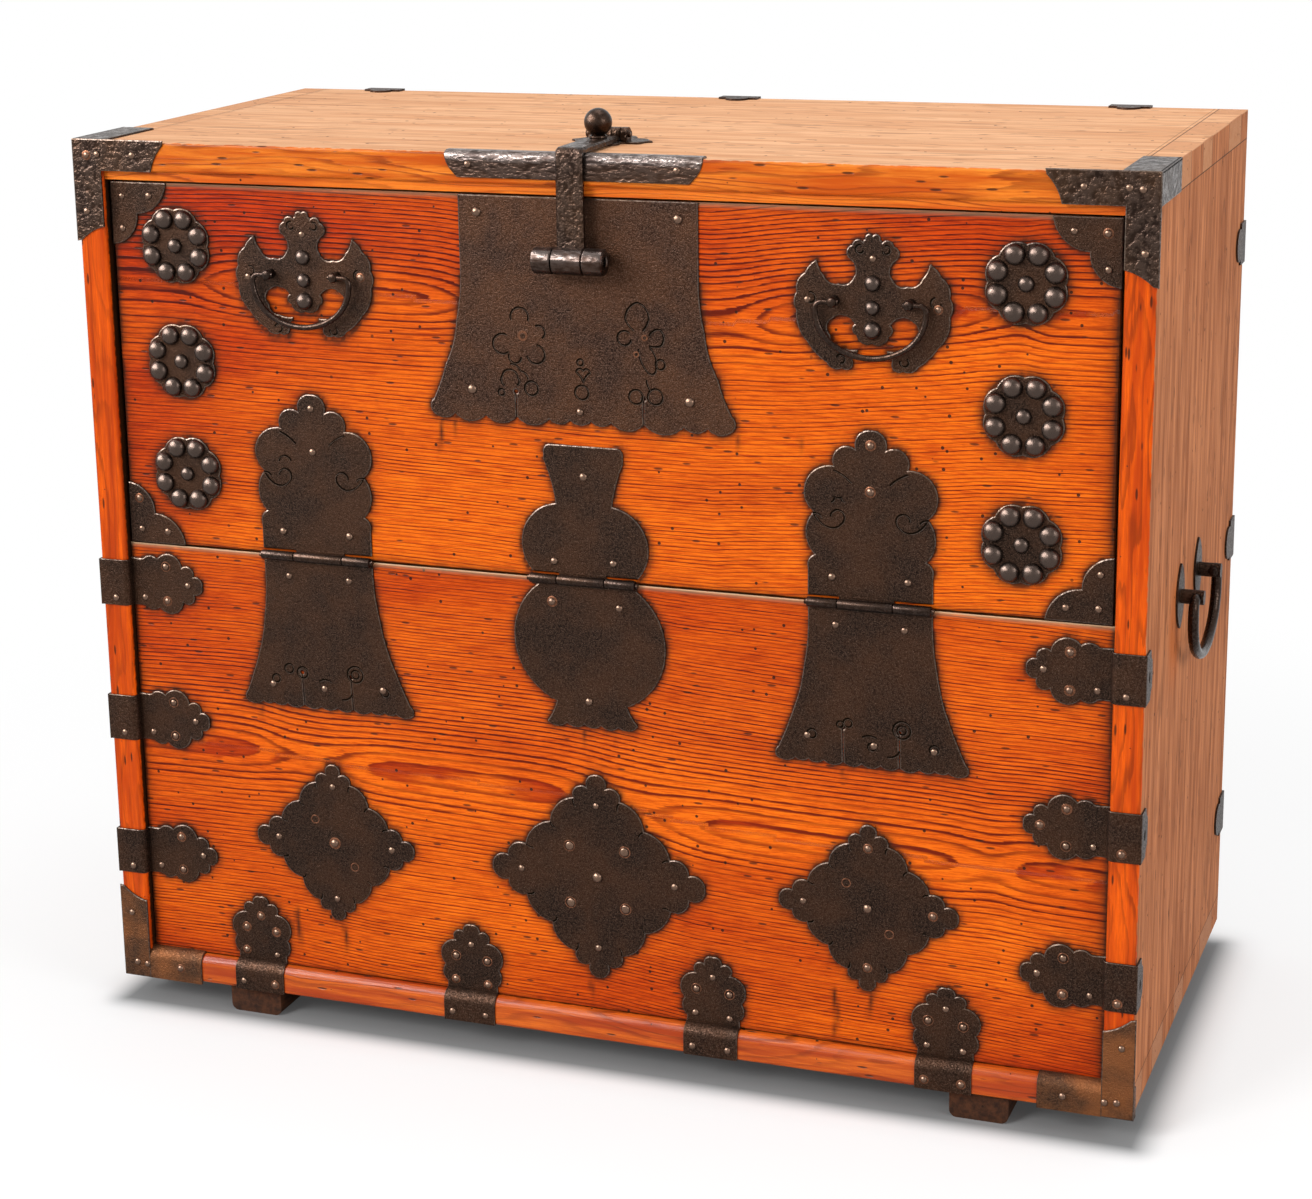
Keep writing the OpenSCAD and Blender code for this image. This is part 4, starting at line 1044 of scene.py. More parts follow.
def tongue(work, x0, start, end, up):
    """The strip of sheet between a leaf and its roll."""
    low, high = (0, CLEAR + 1) if up > 0 else (-CLEAR - 1, 0)
    ring = [(start + 0.3, low), (end - 0.3, low), (end - 0.3, high), (start + 0.3, high)]
    flat_plate(work, ring, on_front(x0, SEAM), rim=0.3, rim_kind=0)


GOURD_UP = [(50.5, CLEAR, 21), *GOURD_HALF[1:]]
CLOUD_UP = [(CLOUD_HALF[0][0], CLEAR, 0), *CLOUD_HALF[1:]]
SCROLL = [(50, 78, 0.6), (43, 70, 0.8), (34, 67, 1), (26, 71, 1), (23, 78, 1), (27, 83, 1), (33, 82, 1),
          (35, 77)]
FOOT_MARKS = {-1: ((-53, -122, 4), (-39, -111, 4.5), (-25, -114, 5.5), (30, -111, 8), (30, -111, 4.2),
                   (60, -126, 4)),
              1: ((-54, -122, 4.2), (-28, -111, 3), (-21, -109, 4), (1, -129, 3.6), (28, -111, 8),
                  (28, -111, 4.2), (57, -126, 4))}


def cloud_leaf(work, side, place):
    """The upper leaf of an outer hinge: a cloud with a curl on each side and a small one between."""
    flat_plate(work, roughened(trace(mirrored(CLOUD_UP)), seed=side), place)
    for u in (-1, 1):
        engrave(work, bow([(u * a, b, *[-u * rise for rise in more]) for a, b, *more in SCROLL]), place)
        engrave(work, bow([(u * 33, 118.5, 1.2 * u), (u * 17, 108)]), place)
        engrave(work, bow([(u * 51.5, 79, 1.5 * u), (u * 44, 76)]), place)
    small = [(-side * 35, 90, 1), (-side * 32, 95, 1), (-side * 26, 95, 1), (-side * 23, 91)]
    engrave(work, bow(small), place)


def bell_leaf(work, side, place, straight):
    """The lower leaf of an outer hinge: a bell that leans, with rings struck into its foot."""
    flat_plate(work, roughened(shifted(bell_ring, FOOT_LEAN[side] * side), seed=side + 5), place)
    slide = FOOT_LEAN[side] * 115 / LEAF_LENGTH
    for u, v, r in FOOT_MARKS[side]:
        circled(work, u + slide, v, r, straight)
    engrave(work, bow([(slide - 8, -121, -2), (slide + 5, -121)]), straight)
    engrave(work, bow([(slide + 26, -131, -2), (slide + 15, -137)]), straight)


# %% Three hinges
for side, label in ((-1, "left"), (0, "centre"), (1, "right")):
    x0 = CENTRE + side * HINGE_X
    mirror = side or 1
    straight = on_front(x0, SEAM)
    place = straight if mirror > 0 else on_front_mirrored(x0, SEAM)
    upper, lower = Work(), Work()
    if side:
        cloud_leaf(upper, side, place)
        bell_leaf(lower, side, place, straight)
    else:
        flat_plate(upper, roughened(shifted(trace(mirrored(GOURD_UP)), 0, 1.5), seed=2), place)
        flat_plate(lower, roughened(shifted(bulb_ring, FOOT_LEAN[0], 3), seed=3), place)
    rolls = SIDE_ROLLS if side else GOURD_ROLLS
    for start, end, leaf in zip(rolls, rolls[1:], (lower, upper, lower)):
        if mirror < 0:
            start, end = -end, -start
        roll(leaf, x0, start, end)
        tongue(leaf, x0, start, end, 1 if leaf is upper else -1)
    for part, leaf, body in (("upper", upper, "door"), ("lower", lower, "case")):
        make(f"{label}_hinge_{part}", leaf, [PLATE, EDGE, GROOVE_SHADE, STUD], body,
             [f"{label}_hinge_{part}_leaf"])

# %% [markdown]
# ## Lozenges and door corners
# The three lozenges are the same quarter outline mirrored four times, with a short engraved line at each
# lobe and a copper-coloured ring where a rivet was. The door's corners are two lobes about a right
# angle.

# %% Lozenges
QUARTER = [(1, 0, 5.5), (0.85, 0.12, 6), (0.68, 0.25, 5.7), (0.44, 0.5, 6), (0.22, 0.76, 6),
           (0.088, 0.87, 4.5), (0, 1, 0)]


def lozenge(half_u, half_v, share):
    """Four quarters about the middle; share scales the bulges."""
    quarter = [(u * half_u, v * half_v, rise * share) for u, v, rise in QUARTER]
    ring = quarter[:-1]
    ring += [(-u, v, quarter[i - 1][2]) for i, (u, v, _) in reversed(list(enumerate(quarter))) if i > 0]
    ring += [(-u, -v, rise) for u, v, rise in quarter[:-1]]
    ring += [(u, -v, quarter[i - 1][2]) for i, (u, v, _) in reversed(list(enumerate(quarter))) if i > 0]
    return ring


lozenge_rings = {}
for side, label in ((-1, "left"), (0, "centre"), (1, "right")):
    work = Work()
    x0, z0, half_u, half_v = LOZENGES[side]
    lozenge_rings[side] = trace(lozenge(half_u, half_v, half_u / 105))
    place = on_front(x0, z0)
    flat_plate(work, roughened(lozenge_rings[side], seed=side + 9), place)
    quarters = ((-1, 1), (1, 1), (1, -1), (-1, -1))
    for u, v in quarters:
        for p, q, _ in (QUARTER[3], QUARTER[2], QUARTER[4]):
            foot = Vector((u * p * half_u, v * q * half_v))
            engrave(work, bow([(*(foot * 0.985), 0.9), tuple(foot * 0.89)]), place, width=1.7)
    across, radius = (0.24, 4) if side else (0.26, 5.2)
    for u, v in quarters:
        finish = 3 if side == 0 or u * v < 0 else 0
        eyes(work, place, [(u * half_u * across, v * half_v * 0.28, radius)], finish)
    make(label + "_diamond", work, [PLATE, EDGE, GROOVE_SHADE, COPPER], "case",
         [label + "_diamond_plate"])

# %% Corners of the door
for vertical, level, up in (("top", DOOR_HIGH, -1), ("bottom", DOOR_LOW, 1)):
    for side, label in SIDES:
        work = Work()
        ring = roughened(trace(DOOR_CORNER), 0.15)
        flat_plate(work, ring, lambda u, v, h: (side * (DOOR_HALF - u), RECESS - h, level + up * v))
        name = f"door_corner_{vertical}_{label}"
        make(name + "_face", work, [PLATE, EDGE], "door", [name])

# %% [markdown]
# ## Straps
# Each strap is one strip of sheet that is bent round the frame and ends in a cloud-shaped head on the
# panel. The bend follows the wood, so it is drawn as a path that runs over the rail or the post, and the
# head is a flat plate that grows out of it.

# %% Straps on the rail and on the posts
BOTTOM_HEAD = [(26, 0), (25.5, 8, 3.5), (27.5, 25, 9), (17, 51, 5.5), (8.5, 60.5, 3.2), (0, 68)]
POST_HEAD = [(23.5, 0), (23, 12), (23.5, 14, 3), (24, 29, 9), (17, 55, 5.5), (9, 67, 3.5), (0, 76)]
RAIL_STRAP_HALF = 26
POST_STRAP_HALF = 22.5
RAIL_EASE = 9  # the bottom rail's front edge is rounded
POST_EASE = 4
rail_path = [(0, 0)] + turn_of((RAIL_EASE, BOARD - RAIL_EASE), RAIL_EASE, 180, 90, 8) + [(RECESS, BOARD)]


def rail_place(x0):
    """Places (back, up, across) on a strip that runs over the rail at x0."""
    return lambda y, z, w: (x0 + w, y, z)


for i, x0 in enumerate(RAIL_STRAP_X):
    work = Work()
    bent_strip(work, rail_path, -RAIL_STRAP_HALF, RAIL_STRAP_HALF, rail_place(x0))
    flat_plate(work, roughened(trace(mirrored(BOTTOM_HEAD)), seed=i), on_front(x0, BOARD))
    eyes(work, on_front(x0, BOARD), ((-16, 35, 4.6), (16, 33, 4.6)))
    make(f"rail_strap_{i + 1}", work, [PLATE, EDGE, COPPER], "case", [f"bottom_strap_{i + 1}"])

outer = [(OPEN_HALF, RECESS)] + turn_of((OPEN_HALF + POST_EASE, POST_EASE), POST_EASE, 180, 270, 5)
post_path = [(HALF_W, 0)] + outer[::-1]
low, high = -POST_STRAP_HALF, POST_STRAP_HALF
LEAF_END = [(-2, low, 0), (15, low, 0), (17.5, low, -2), (24, -13, 1.5), (24, 13, -2), (17.5, high, 0),
            (15, high, 0), (-2, high, 0)]
for side, label in SIDES:
    for level, z in zip(("low", "middle", "high"), STRAP_Z[side]):
        work = Work()
        bent_strip(work, post_path, low, high, lambda a, b, w: (side * a, b, z + w))

        def head_place(u, v, h):
            return (side * (OPEN_HALF - v), RECESS - h, z + u)

        def leaf_place(u, v, h):
            return (side * (HALF_W + h), u, z + v)
        flat_plate(work, roughened(trace(mirrored(POST_HEAD)), seed=z), head_place)
        eyes(work, head_place, ((-17, 38, 4.6), (17, 38, 4.6)))
        flat_plate(work, trace(LEAF_END), leaf_place)
        # A near-black patch on the leaf is painted shade for the inside of the slot.
        slot_hole = [(11 + (u - 11) * 0.8, v * 1.7) for u, v in circle(11, 0, 3, 16)]
        flat_plate(work, slot_hole, leaf_place, IRON + 0.12, 0.1, 3, 3)
        make(f"{label}_post_strap_{level}", work, [PLATE, EDGE, COPPER, GROOVE_SHADE], "case",
             [f"{label}_strap_{level}"])

# %% [markdown]
# ## Frame corners and the plate under the hasp
# The upper corner irons and the plate are glossier than the rest, because hands and the hasp have rubbed
# them, and the lower corner irons have rusted near the floor. All corner irons lap round to the top or
# underside and to the sides, and the lower ones follow the rounded edge of the rail. Each is three flat
# plates that meet, and the plate under the hasp is a strip bent over the rounded edge of the top.

# %% Frame corners
CORNER_END = [(BOARD, 79, -2), (3, 92, 0), (-2, 93, 0)]
for vertical, level, up, tab, finish, middle in (
        ("top", HEIGHT, -1, 92, BRIGHT, [(93, -2, 0), (92, 3, -2), (79, BOARD, 0), (BOARD, BOARD, 0)]),
        ("bottom", 0, 1, 8, RUSTY, [(BOARD, -2, 0)])):
    for side, label in SIDES:
        work = Work()
        ring = [(-2, -2, 0), *middle, *CORNER_END]
        flat_plate(work, roughened(trace(ring), 0.15),
                   lambda u, v, h: (side * (HALF_W - u), -h, level + up * v))
        if vertical == "bottom":
            bent_strip(work, [(0, -2)] + rail_path, BOARD - 0.5, 84,
                       lambda y, z, w: (side * (HALF_W - w), y, z))
        flat_plate(work, [(0, -2), (tab, -2), (tab, BOARD), (0, BOARD)],
                   lambda u, v, h: (side * (HALF_W + h), u, level + up * v))
        flat_plate(work, [(-2, 0), (BOARD + 4, 0), (BOARD + 4, tab), (-2, tab)],
                   lambda u, v, h: (side * (HALF_W - u), v, level - up * h))
        make(f"{vertical}_{label}_corner", work, [finish, EDGE], "case",
             [f"{vertical}_{label}_corner_iron"])

# %% Plate over the top rail
work = Work()
plate_path = [(0, 804.5), (0, 808), (0, 812), (0, 817)] + turn_of((4.5, 821.5), 4.5, 180, 90, 7) + [(10, 826)]
half_widths = np.interp([z for _, z in plate_path], (804.5, 808, 812, 817, 822, 824),
                        (108, 111.5, 115, 118, 119.6, 120))
bent_strip(work, plate_path, -half_widths, half_widths, rail_place(CENTRE), rim=0.8)
# Its upper band is painted pale, partly as wear from the hasp and partly as a painted highlight.
make("rail_plate", work, [RAIL_PLATE_WORN_AND_HIGHLIT, EDGE], "case", ["top_rail_plate"])

# %% [markdown]
# ## Rivets and studs by Geometry Nodes
# There are well over a hundred rivets, all made the same way: a low dome on the plate, never quite the
# same size or quite square to it. That is a job for Geometry Nodes. The tree takes a cloud of points
# that carry a radius and a height, builds one dome, and puts a copy on each point with a little seeded
# wobble. The dome's mesh keeps a number, its crown, that is 0 at the rim and 1 on top, so that the
# finish can be paler where hands reach. Some rivets also get a thin copper washer.


# %% Tree that puts domes on points
DOME_ARC = math.radians(80)
FORWARDS = (math.pi / 2, 0.0, 0.0)


def dome_tree():
    tree = bpy.data.node_groups.new("domes_on_points", "GeometryNodeTree")
    face = tree.interface
    face.new_socket("Geometry", in_out="OUTPUT", socket_type="NodeSocketGeometry")
    for label, kind, default in (("Geometry", "Geometry", None), ("Sides", "Int", 14), ("Levels", "Int", 4),
                                 ("Wobble", "Float", 0.06), ("Spread", "Float", 0.05), ("Seed", "Int", 3),
                                 ("Finish", "Material", None), ("Washer Finish", "Material", None),
                                 ("Washer Share", "Float", 0.0), ("Washer Width", "Float", 1.5)):
        made = face.new_socket(label, in_out="INPUT", socket_type="NodeSocket" + kind)
        if default is not None:
            made.default_value = default
    s = Sheet(tree)
    enter = tree.nodes.new("NodeGroupInput").outputs
    leave = tree.nodes.new("NodeGroupOutput").inputs
    rod = s.add("GeometryNodeMeshCylinder", {"Vertices": enter["Sides"], "Side Segments": enter["Levels"],
                                             "Radius": 1.0, "Depth": 1.0}, None, fill_type="TRIANGLE_FAN")
    x, y, z = s.parts(s.add("GeometryNodeInputPosition"))
    angle = s.times(s.plus(z, 0.5), DOME_ARC)
    width = s.sum("COSINE", angle)
    top = s.sum("DIVIDE", s.sum("SINE", angle), math.sin(DOME_ARC))
    shaped = s.joined(s.times(x, width), s.times(y, width), top)
    dome = s.add("GeometryNodeSetPosition", {"Geometry": rod.outputs["Mesh"], "Position": shaped})
    dome = s.add("GeometryNodeStoreNamedAttribute", {"Geometry": dome, "Name": "crown", "Value": top}, None,
                 data_type="FLOAT", domain="POINT").outputs[0]
    dome = s.add("GeometryNodeSetShadeSmooth", {"Geometry": dome, "Shade Smooth": True})

    def carried(name):
        return s.add("GeometryNodeInputNamedAttribute", {"Name": name}, None, data_type="FLOAT").outputs[0]

    def chance(low, high, offset, kind="FLOAT"):
        """A seeded number, or three of them, for each point."""
        vector = kind == "FLOAT_VECTOR"
        first = 0 if vector else 2
        return s.add("FunctionNodeRandomValue", {"Seed": s.plus(enter["Seed"], offset), first: low,
                                                 first + 1: high}, 0 if vector else 1, data_type=kind)

    width = s.times(carried("radius"), s.scaled(chance(-1.0, 1.0, 0.0), enter["Spread"], 1.0))
    scale = s.joined(width, width, carried("height"))
    lean = s.add("ShaderNodeVectorMath", {0: chance((-1, -1, -3), (1, 1, 3), 7.0, "FLOAT_VECTOR"),
                                          "Scale": enter["Wobble"]}, operation="SCALE")
    facing = s.vector("ADD", lean, FORWARDS)
    placed = s.add("GeometryNodeInstanceOnPoints", {"Points": enter["Geometry"], "Instance": dome,
                                                    "Rotation": facing, "Scale": scale})
    done = s.add("GeometryNodeSetMaterial", {"Geometry": s.add("GeometryNodeRealizeInstances", {
        "Geometry": placed}), "Material": enter["Finish"]})
    pick = s.sum("LESS_THAN", chance(0.0, 1.0, 11.0), enter["Washer Share"])
    washer = s.add("GeometryNodeMeshCone", {"Vertices": 20, "Radius Top": enter["Washer Width"],
                                            "Radius Bottom": s.plus(enter["Washer Width"], 0.12),
                                            "Depth": 0.22 * MM}, None, fill_type="TRIANGLE_FAN")
    flat_size = s.joined(carried("radius"), carried("radius"), 1.0)
    laid = s.add("GeometryNodeInstanceOnPoints", {"Points": enter["Geometry"], "Selection": pick,
                                                  "Instance": washer.outputs["Mesh"], "Rotation": FORWARDS,
                                                  "Scale": flat_size})
    laid = s.add("GeometryNodeSetMaterial", {"Geometry": s.add("GeometryNodeRealizeInstances", {
        "Geometry": laid}), "Material": enter["Washer Finish"]})
    joined = s.add("GeometryNodeJoinGeometry", None, None)
    tree.links.new(done, joined.inputs[0])
    tree.links.new(laid, joined.inputs[0])
    tree.links.new(joined.outputs[0], leave[0])
    return tree


DOMES = dome_tree()


# %% Running a tree over points
def domes(name, rows, finishes, body, slot, stands_for=(), **inputs):
    """rows are (x, y, z, radius, height) in joiner's lengths, all facing forwards."""
    cloud = bpy.data.meshes.new(name + "_points")
    cloud.from_pydata([spot(*row[:3]) for row in rows], [], [])
    for label, column in (("radius", 3), ("height", 4)):
        sizes = [row[column] * MM for row in rows]
        cloud.attributes.new(label, "FLOAT", "POINT").data.foreach_set("value", sizes)
    holder = bpy.data.objects.new(name + "_points", cloud)
    scene.collection.objects.link(holder)
    modifier = holder.modifiers.new("domes", "NODES")
    modifier.node_group = DOMES
    sockets = {item.name: item.identifier for item in DOMES.interface.items_tree if item.in_out == "INPUT"}
    for label, value in {"Finish": finishes[0], "Washer Finish": finishes[-1], **inputs}.items():
        modifier[sockets[label]] = value
    shown = holder.evaluated_get(bpy.context.evaluated_depsgraph_get())
    mesh = bpy.data.meshes.new_from_object(shown)
    mesh.name = name
    holder.modifiers.clear()
    bpy.data.objects.remove(holder)
    mesh.set_sharp_from_angle(angle=math.radians(60))
    return hand_over(mesh, body, stands_for)


# %% Where the rivets are
SMALL = (3.2, 2.0)
case_rows, door_rows = [], []
for side in (-1, 1):
    for z in STRAP_Z[side]:
        for u, v in ((14, -15), (38, -17), (38, 17), (61, 0)):
            case_rows.append((side * (OPEN_HALF - u), FACE, z + v, *SMALL))
        case_rows.append((side * (OPEN_HALF + 12), -IRON, z - 15, *SMALL))
    for u, v in ((13, 13), (24, 12), (61, 12), (10, 65)):
        case_rows.append((side * (HALF_W - u), -IRON, v, *SMALL))
        case_rows.append((side * (HALF_W - u), -IRON, HEIGHT - v, *SMALL))
    hinge = CENTRE + side * HINGE_X
    for u, v in ((-31, -20), (31, -20), (-58, -124), (3, -128), (57, -128)):
        case_rows.append((hinge + side * u - FOOT_LEAN[side] * v / LEAF_LENGTH, FACE, SEAM + v, *SMALL))
    x0, z0, half_u, half_v = LOZENGES[side]
    case_rows.append((x0, FACE, z0, 4.2, 3.0))
    for u in (-1, 1):
        case_rows.append((x0 + 0.72 * u * half_u, FACE, z0, *SMALL))
        case_rows.append((x0, FACE, z0 + 0.72 * u * half_v, *SMALL))
    case_rows.append((CENTRE + side * 97, -IRON, OPEN_TOP + 17, *SMALL))
    for u, v in ((0, 142), (0, 101), (-34, 23), (34, 23)):
        door_rows.append((hinge + side * u, FACE, SEAM + v, 3.5, 2.4))
    for u, v in ((0, 37), (-57, 0), (57, -4)):
        door_rows.append((CENTRE + side * (HANDLE_X + u), FACE, HANDLE_Z + v, 3.0, 1.6))
    door_rows.append((CENTRE + side * 94, FACE, DOOR_HIGH - 15, 4.4, 3.0))
    door_rows.append((CENTRE + side * 103, FACE, DOOR_HIGH - 175, 4.4, 3.0))
    for u, v in ((12, 13), (40, 12), (11, 43)):
        door_rows.append((side * (DOOR_HALF - u), FACE, DOOR_HIGH - v, *SMALL))
        door_rows.append((side * (DOOR_HALF - u), FACE, DOOR_LOW + v, *SMALL))
for x0 in RAIL_STRAP_X:
    for u, z in ((0, 75), (-16, 62), (16, 60), (-17, 38), (16, 36)):
        case_rows.append((x0 + u, FACE, z, *SMALL))
    for u in (-17, 17):
        case_rows.append((x0 + u, -IRON, 9, *SMALL))
x0, z0, half_u, half_v = LOZENGES[0]
case_rows.append((x0, FACE, z0, 5.0, 3.5))
for u in (-1, 1):
    case_rows.append((x0 + 0.72 * u * half_u, FACE, z0, *SMALL))
    case_rows.append((x0, FACE, z0 + 0.7 * u * half_v, *SMALL))
    for v in (-1, 1):
        case_rows.append((x0 + 27 * u, FACE, z0 + 28 * v, 4.0, 1.2))
for u, v in ((-31, -22), (34, -23), (3, -114)):
    case_rows.append((CENTRE + u, FACE, SEAM + v, 3.6, 2.4))
door_rows.append((CENTRE, FACE, DOOR_HIGH - 190, 3.4, 2.4))
for u, v in ((2, 96), (-28, 16), (29, 18)):
    door_rows.append((CENTRE + u, FACE, SEAM + v, 3.6, 2.4))
domes("rivets_on_case", case_rows, [RIVET, COPPER], "case", "stud_iron", ["case_rivets"],
      **{"Seed": 5, "Washer Share": 0.3, "Washer Width": 1.3})
domes("rivets_on_door", door_rows, [RIVET, COPPER], "door", "stud_iron", ["door_rivets"],
      **{"Seed": 8, "Washer Share": 0.2, "Washer Width": 1.3})

# %% [markdown]
# ## Rosettes
# Each end of the door has a column of three rosettes: a thin disc with eight lobes and nine big studs.
# The disc is an outline of eight arcs, and the studs come out of the same tree as the rivets, with more
# sides, because their round tops show in the picture.


# %% Rosettes and their studs
def round_the_middle(radius, first, count=8):
    """Places on a circle, count of them, from the angle first on."""
    angles = [math.radians(first + 360 / count * k) for k in range(count)]
    return [(radius * math.cos(a), radius * math.sin(a)) for a in angles]


for side, label in SIDES:
    work, rows = Work(), []
    x0 = CENTRE + side * ROSETTE_X
    for z in ROSETTE_Z[side]:
        ring = [(u, v, 5.6) for u, v in round_the_middle(ROSETTE_R, 0)]
        flat_plate(work, roughened(trace(ring), 0.3, z), on_front(x0, z))
        rows.append((x0, FACE, z, 7.0, 6.0))
        rows += [(x0 + u, FACE, z + v, 9.2, 7.5) for u, v in round_the_middle(26.3, 22.5)]
    make(label + "_rosette_discs", work, [PLATE, EDGE], "door", [label + "_rosettes"])
    domes(label + "_rosette_studs", rows, [STUD, GROOVE_SHADE], "door", "stud_iron", (),
          **{"Sides": 28, "Levels": 8, "Seed": 2 + side, "Spread": 0.03, "Wobble": 0.04})

# %% [markdown]
# ## Handles
# The door handles hang from a bat-shaped plate with three studs. Each handle is a rod forged a little
# thicker at its foot, with its ends turned inwards into two posts. The side handles are heavier and hang
# from two leaves each. A rod could be a curve with a bevel, but its thickness changes, so it is swept as
# rings along a path of three arcs: a shoulder, a side and a long flat foot.


# %% Rod handles
def handle_path(pin, bend, side_r, side_turn, straight):
    """The right half of a handle in (across, up), from the pin's inner end to the foot."""
    path = [(pin[0], 0), (pin[1], 0)]
    path += turn_of((pin[1], -bend), bend, 90, 0, 8)[1:]
    leg = pin[1] + bend
    if straight:
        path.append((leg, -bend - straight))
    centre = (leg - side_r, -bend - straight)
    path += turn_of(centre, side_r, 0, -side_turn, 12)[1:]
    foot = path[-1]
    bottom_r = foot[0] / math.cos(math.radians(side_turn))
    middle = foot[1] + bottom_r * math.sin(math.radians(side_turn))
    path += turn_of((0, middle), bottom_r, -side_turn, -90, 12)[1:]
    return path


def whole_handle(half, rod, thin, place):
    """Both halves of a handle, thin at the pins and rod thick 20 mm below them."""
    path = half + [(-u, v) for u, v in reversed(half[:-1])]
    radii = []
    for u, v in path:
        share = min(1.0, max(0.0, -v / 20))
        radii.append(thin + (rod - thin) * share)
    return [place(u, v) for u, v in path], radii


# %% Door handles
BAIL_Y = FACE - 7
POST_U = 33.25
for side, label in SIDES:
    x0 = CENTRE + side * HANDLE_X
    work = Work()
    place = on_front(x0, HANDLE_Z)
    squat = [(u, v * (0.95 if side < 0 and v < 0 else 1)) for u, v in bat_ring]
    flat_plate(work, roughened(squat, 0.25, side), place)
    for u in (-POST_U, POST_U):
        turned(work, (x0 + u, FACE, HANDLE_Z), (0, -1, 0),
               [(0, 0), (0, 4.8), (3.5, 4.2), (5, 4.6), (8.5, 4.6), (10.3, 3.6), (11, 2), (11.2, 0)], 20, 3)
    for u in (-1, 1):
        circled(work, u * 11.5, 45, 3.6, place, 0.75 * u, 200 if u > 0 else -20)
        circled(work, u * 55, 2, 4.6, place, 0.7 * u, 100)
        circled(work, u * 28, -50, 3.8, place, 0.7 * u, 160)
    make(label + "_handle_bat", work, [PLATE, EDGE, GROOVE_SHADE, STUD], "door",
         [label + "_bail_plate"])
    studs = [(x0, FACE, 725, 7.0, 6.0), (x0, FACE, 704, 6.5, 6.0), (x0, FACE, 685, 8.0, 7.0)]
    domes(label + "_bat_studs", studs, [STUD, STUD], "door", "stud_iron", (),
          **{"Sides": 24, "Levels": 7, "Seed": 6 + side, "Spread": 0.02})
    half = handle_path((28, 42.5), 6, 38, 58, 0)
    path, radii = whole_handle(half, 2.75, 2.25, lambda u, v: (x0 + u, BAIL_Y, HANDLE_Z + v))
    work = Work()
    tube(work, path, radii, 14)
    make(label + "_door_handle_rod", work, [STUD], f"{label}_door_handle",
         [label + "_door_bail"])

# %% Side handles
SIDE_Y, SIDE_Z, SIDE_X = 208, 430, 516
for side, label in SIDES:
    half = handle_path((40.5, 55), 9, 40, 55, 6)
    path, radii = whole_handle(half, 4.9, 4.5, lambda u, v: (side * SIDE_X, SIDE_Y + u, SIDE_Z + v))
    work = Work()
    tube(work, path, radii, 18)
    make(label + "_side_handle_rod", work, [STUD], f"{label}_side_handle",
         [label + "_side_bail"])

# %% [markdown]
# ## Lock and hasp
# The hasp comes over the top edge and its eye fits between two eyes on the door. A padlock's bar slides
# through all three, so they look like one barrel. The strap was forged thick, and its long edges are
# hammered slanting. The eyes and the ball are turned solids: a row of (along, radius) steps about an
# axis, which is the plainest way to a round thing. The base plate under the hinge is one quarter leaf,
# turned four times.

# %% Lock eyes
LOCK_Z = 735.5
BARREL_Y = -9
work = Work()
for side in (-1, 1):
    profile = [(0, 0), (0, 5), (0, 10.6), (0.5, 11.5), (1.6, 12), (8, 11.7), (15, 12), (17.6, 11.4),
               (18.7, 9.8), (19, 7.5), (18.6, 5.6), (17.5, 5), (5, 5), (4, 0)]
    turned(work, (CENTRE + side * 14.5, BARREL_Y, LOCK_Z), (side, 0, 0), profile, 40)
    neck = [(side * 23.5 + u, v) for u, v in ((-5.5, -6), (5.5, -6), (5.5, 6), (-5.5, 6))]
    flat_plate(work, neck, on_front(CENTRE, LOCK_Z, FACE), 14, 0.8)
# The barrel's iron is painted pale on its upper half as its highlight.
make("lock_eye_pair", work, [BARREL_WITH_PAINTED_HIGHLIGHT, BRIGHT], "door", ["lock_eyes"])

# %% Hasp
ARM_Y, HASP_T, STRAP_LOW, PIVOT_Z, PIVOT_Y = -5.5, 5, 828.5, 834.5, 92
work = Work()
inner = ARM_Y + HASP_T / 2
path = [(inner, LOCK_Z + 8 * k) for k in range(11)]
path += turn_of((inner + 1.5, STRAP_LOW - 1.5), 1.5, 180, 90, 5)
path += [(inner + 1.5 + 10 * k, STRAP_LOW) for k in range(1, 9)] + [(PIVOT_Y, STRAP_LOW)]
bent_strip(work, path, -12.5, 12.5, rail_place(CENTRE), HASP_T, 1.6, rim_kind=0)
turned(work, (CENTRE - 12.5, PIVOT_Y, PIVOT_Z), (1, 0, 0),
       [(0, 0), (0, 5), (0.8, 6), (24.2, 6), (25, 5), (25, 0)])
turned(work, (CENTRE - 13.9, BARREL_Y, LOCK_Z), (1, 0, 0),
       [(0, 0), (0, 9), (0, 11), (0.7, 12), (14, 11.8), (27.1, 12), (27.8, 11), (27.8, 9), (27.8, 0)], 40, 2)
# The hasp's barrel is painted pale on its upper half as its highlight.
make("hasp_arm", work, [BRIGHT, EDGE, BARREL_WITH_PAINTED_HIGHLIGHT], "hasp", ["hasp"], 30)

# %% The hasp's ball and base plate
work = Work()
ball = [(14 - 12.5 * math.cos(math.radians(a)), 12.5 * math.sin(math.radians(a))) for a in range(30, 180, 10)]
turned(work, (CENTRE, 66, STRAP_LOW + HASP_T), (0, 0, 1),
       [(0, 0), (0, 7.6), (0.7, 8), (2.2, 7.8), (2.8, 6)] + ball + [(26.5, 0)], 40)
make("hasp_ball", work, [STUD], "hasp", ["hasp_knob"])

LEAF = [(38.5, 0, 0), (33, 5, 5), (17.5, 14, 0), (15.5, 15.5, 0), (14, 17.5, 5), (5, 33, 0)]
ring = []
for k in range(4):
    for u, v, rise in LEAF:
        for _ in range(k):
            u, v = -v, u
        ring.append((u, v, rise))
work = Work()
flat_plate(work, trace(ring), lambda u, v, h: (CENTRE + u, PIVOT_Y + 8 + v, HEIGHT + h))
make("hasp_base", work, [PLATE, EDGE], "case", ["hasp_base_plate"])

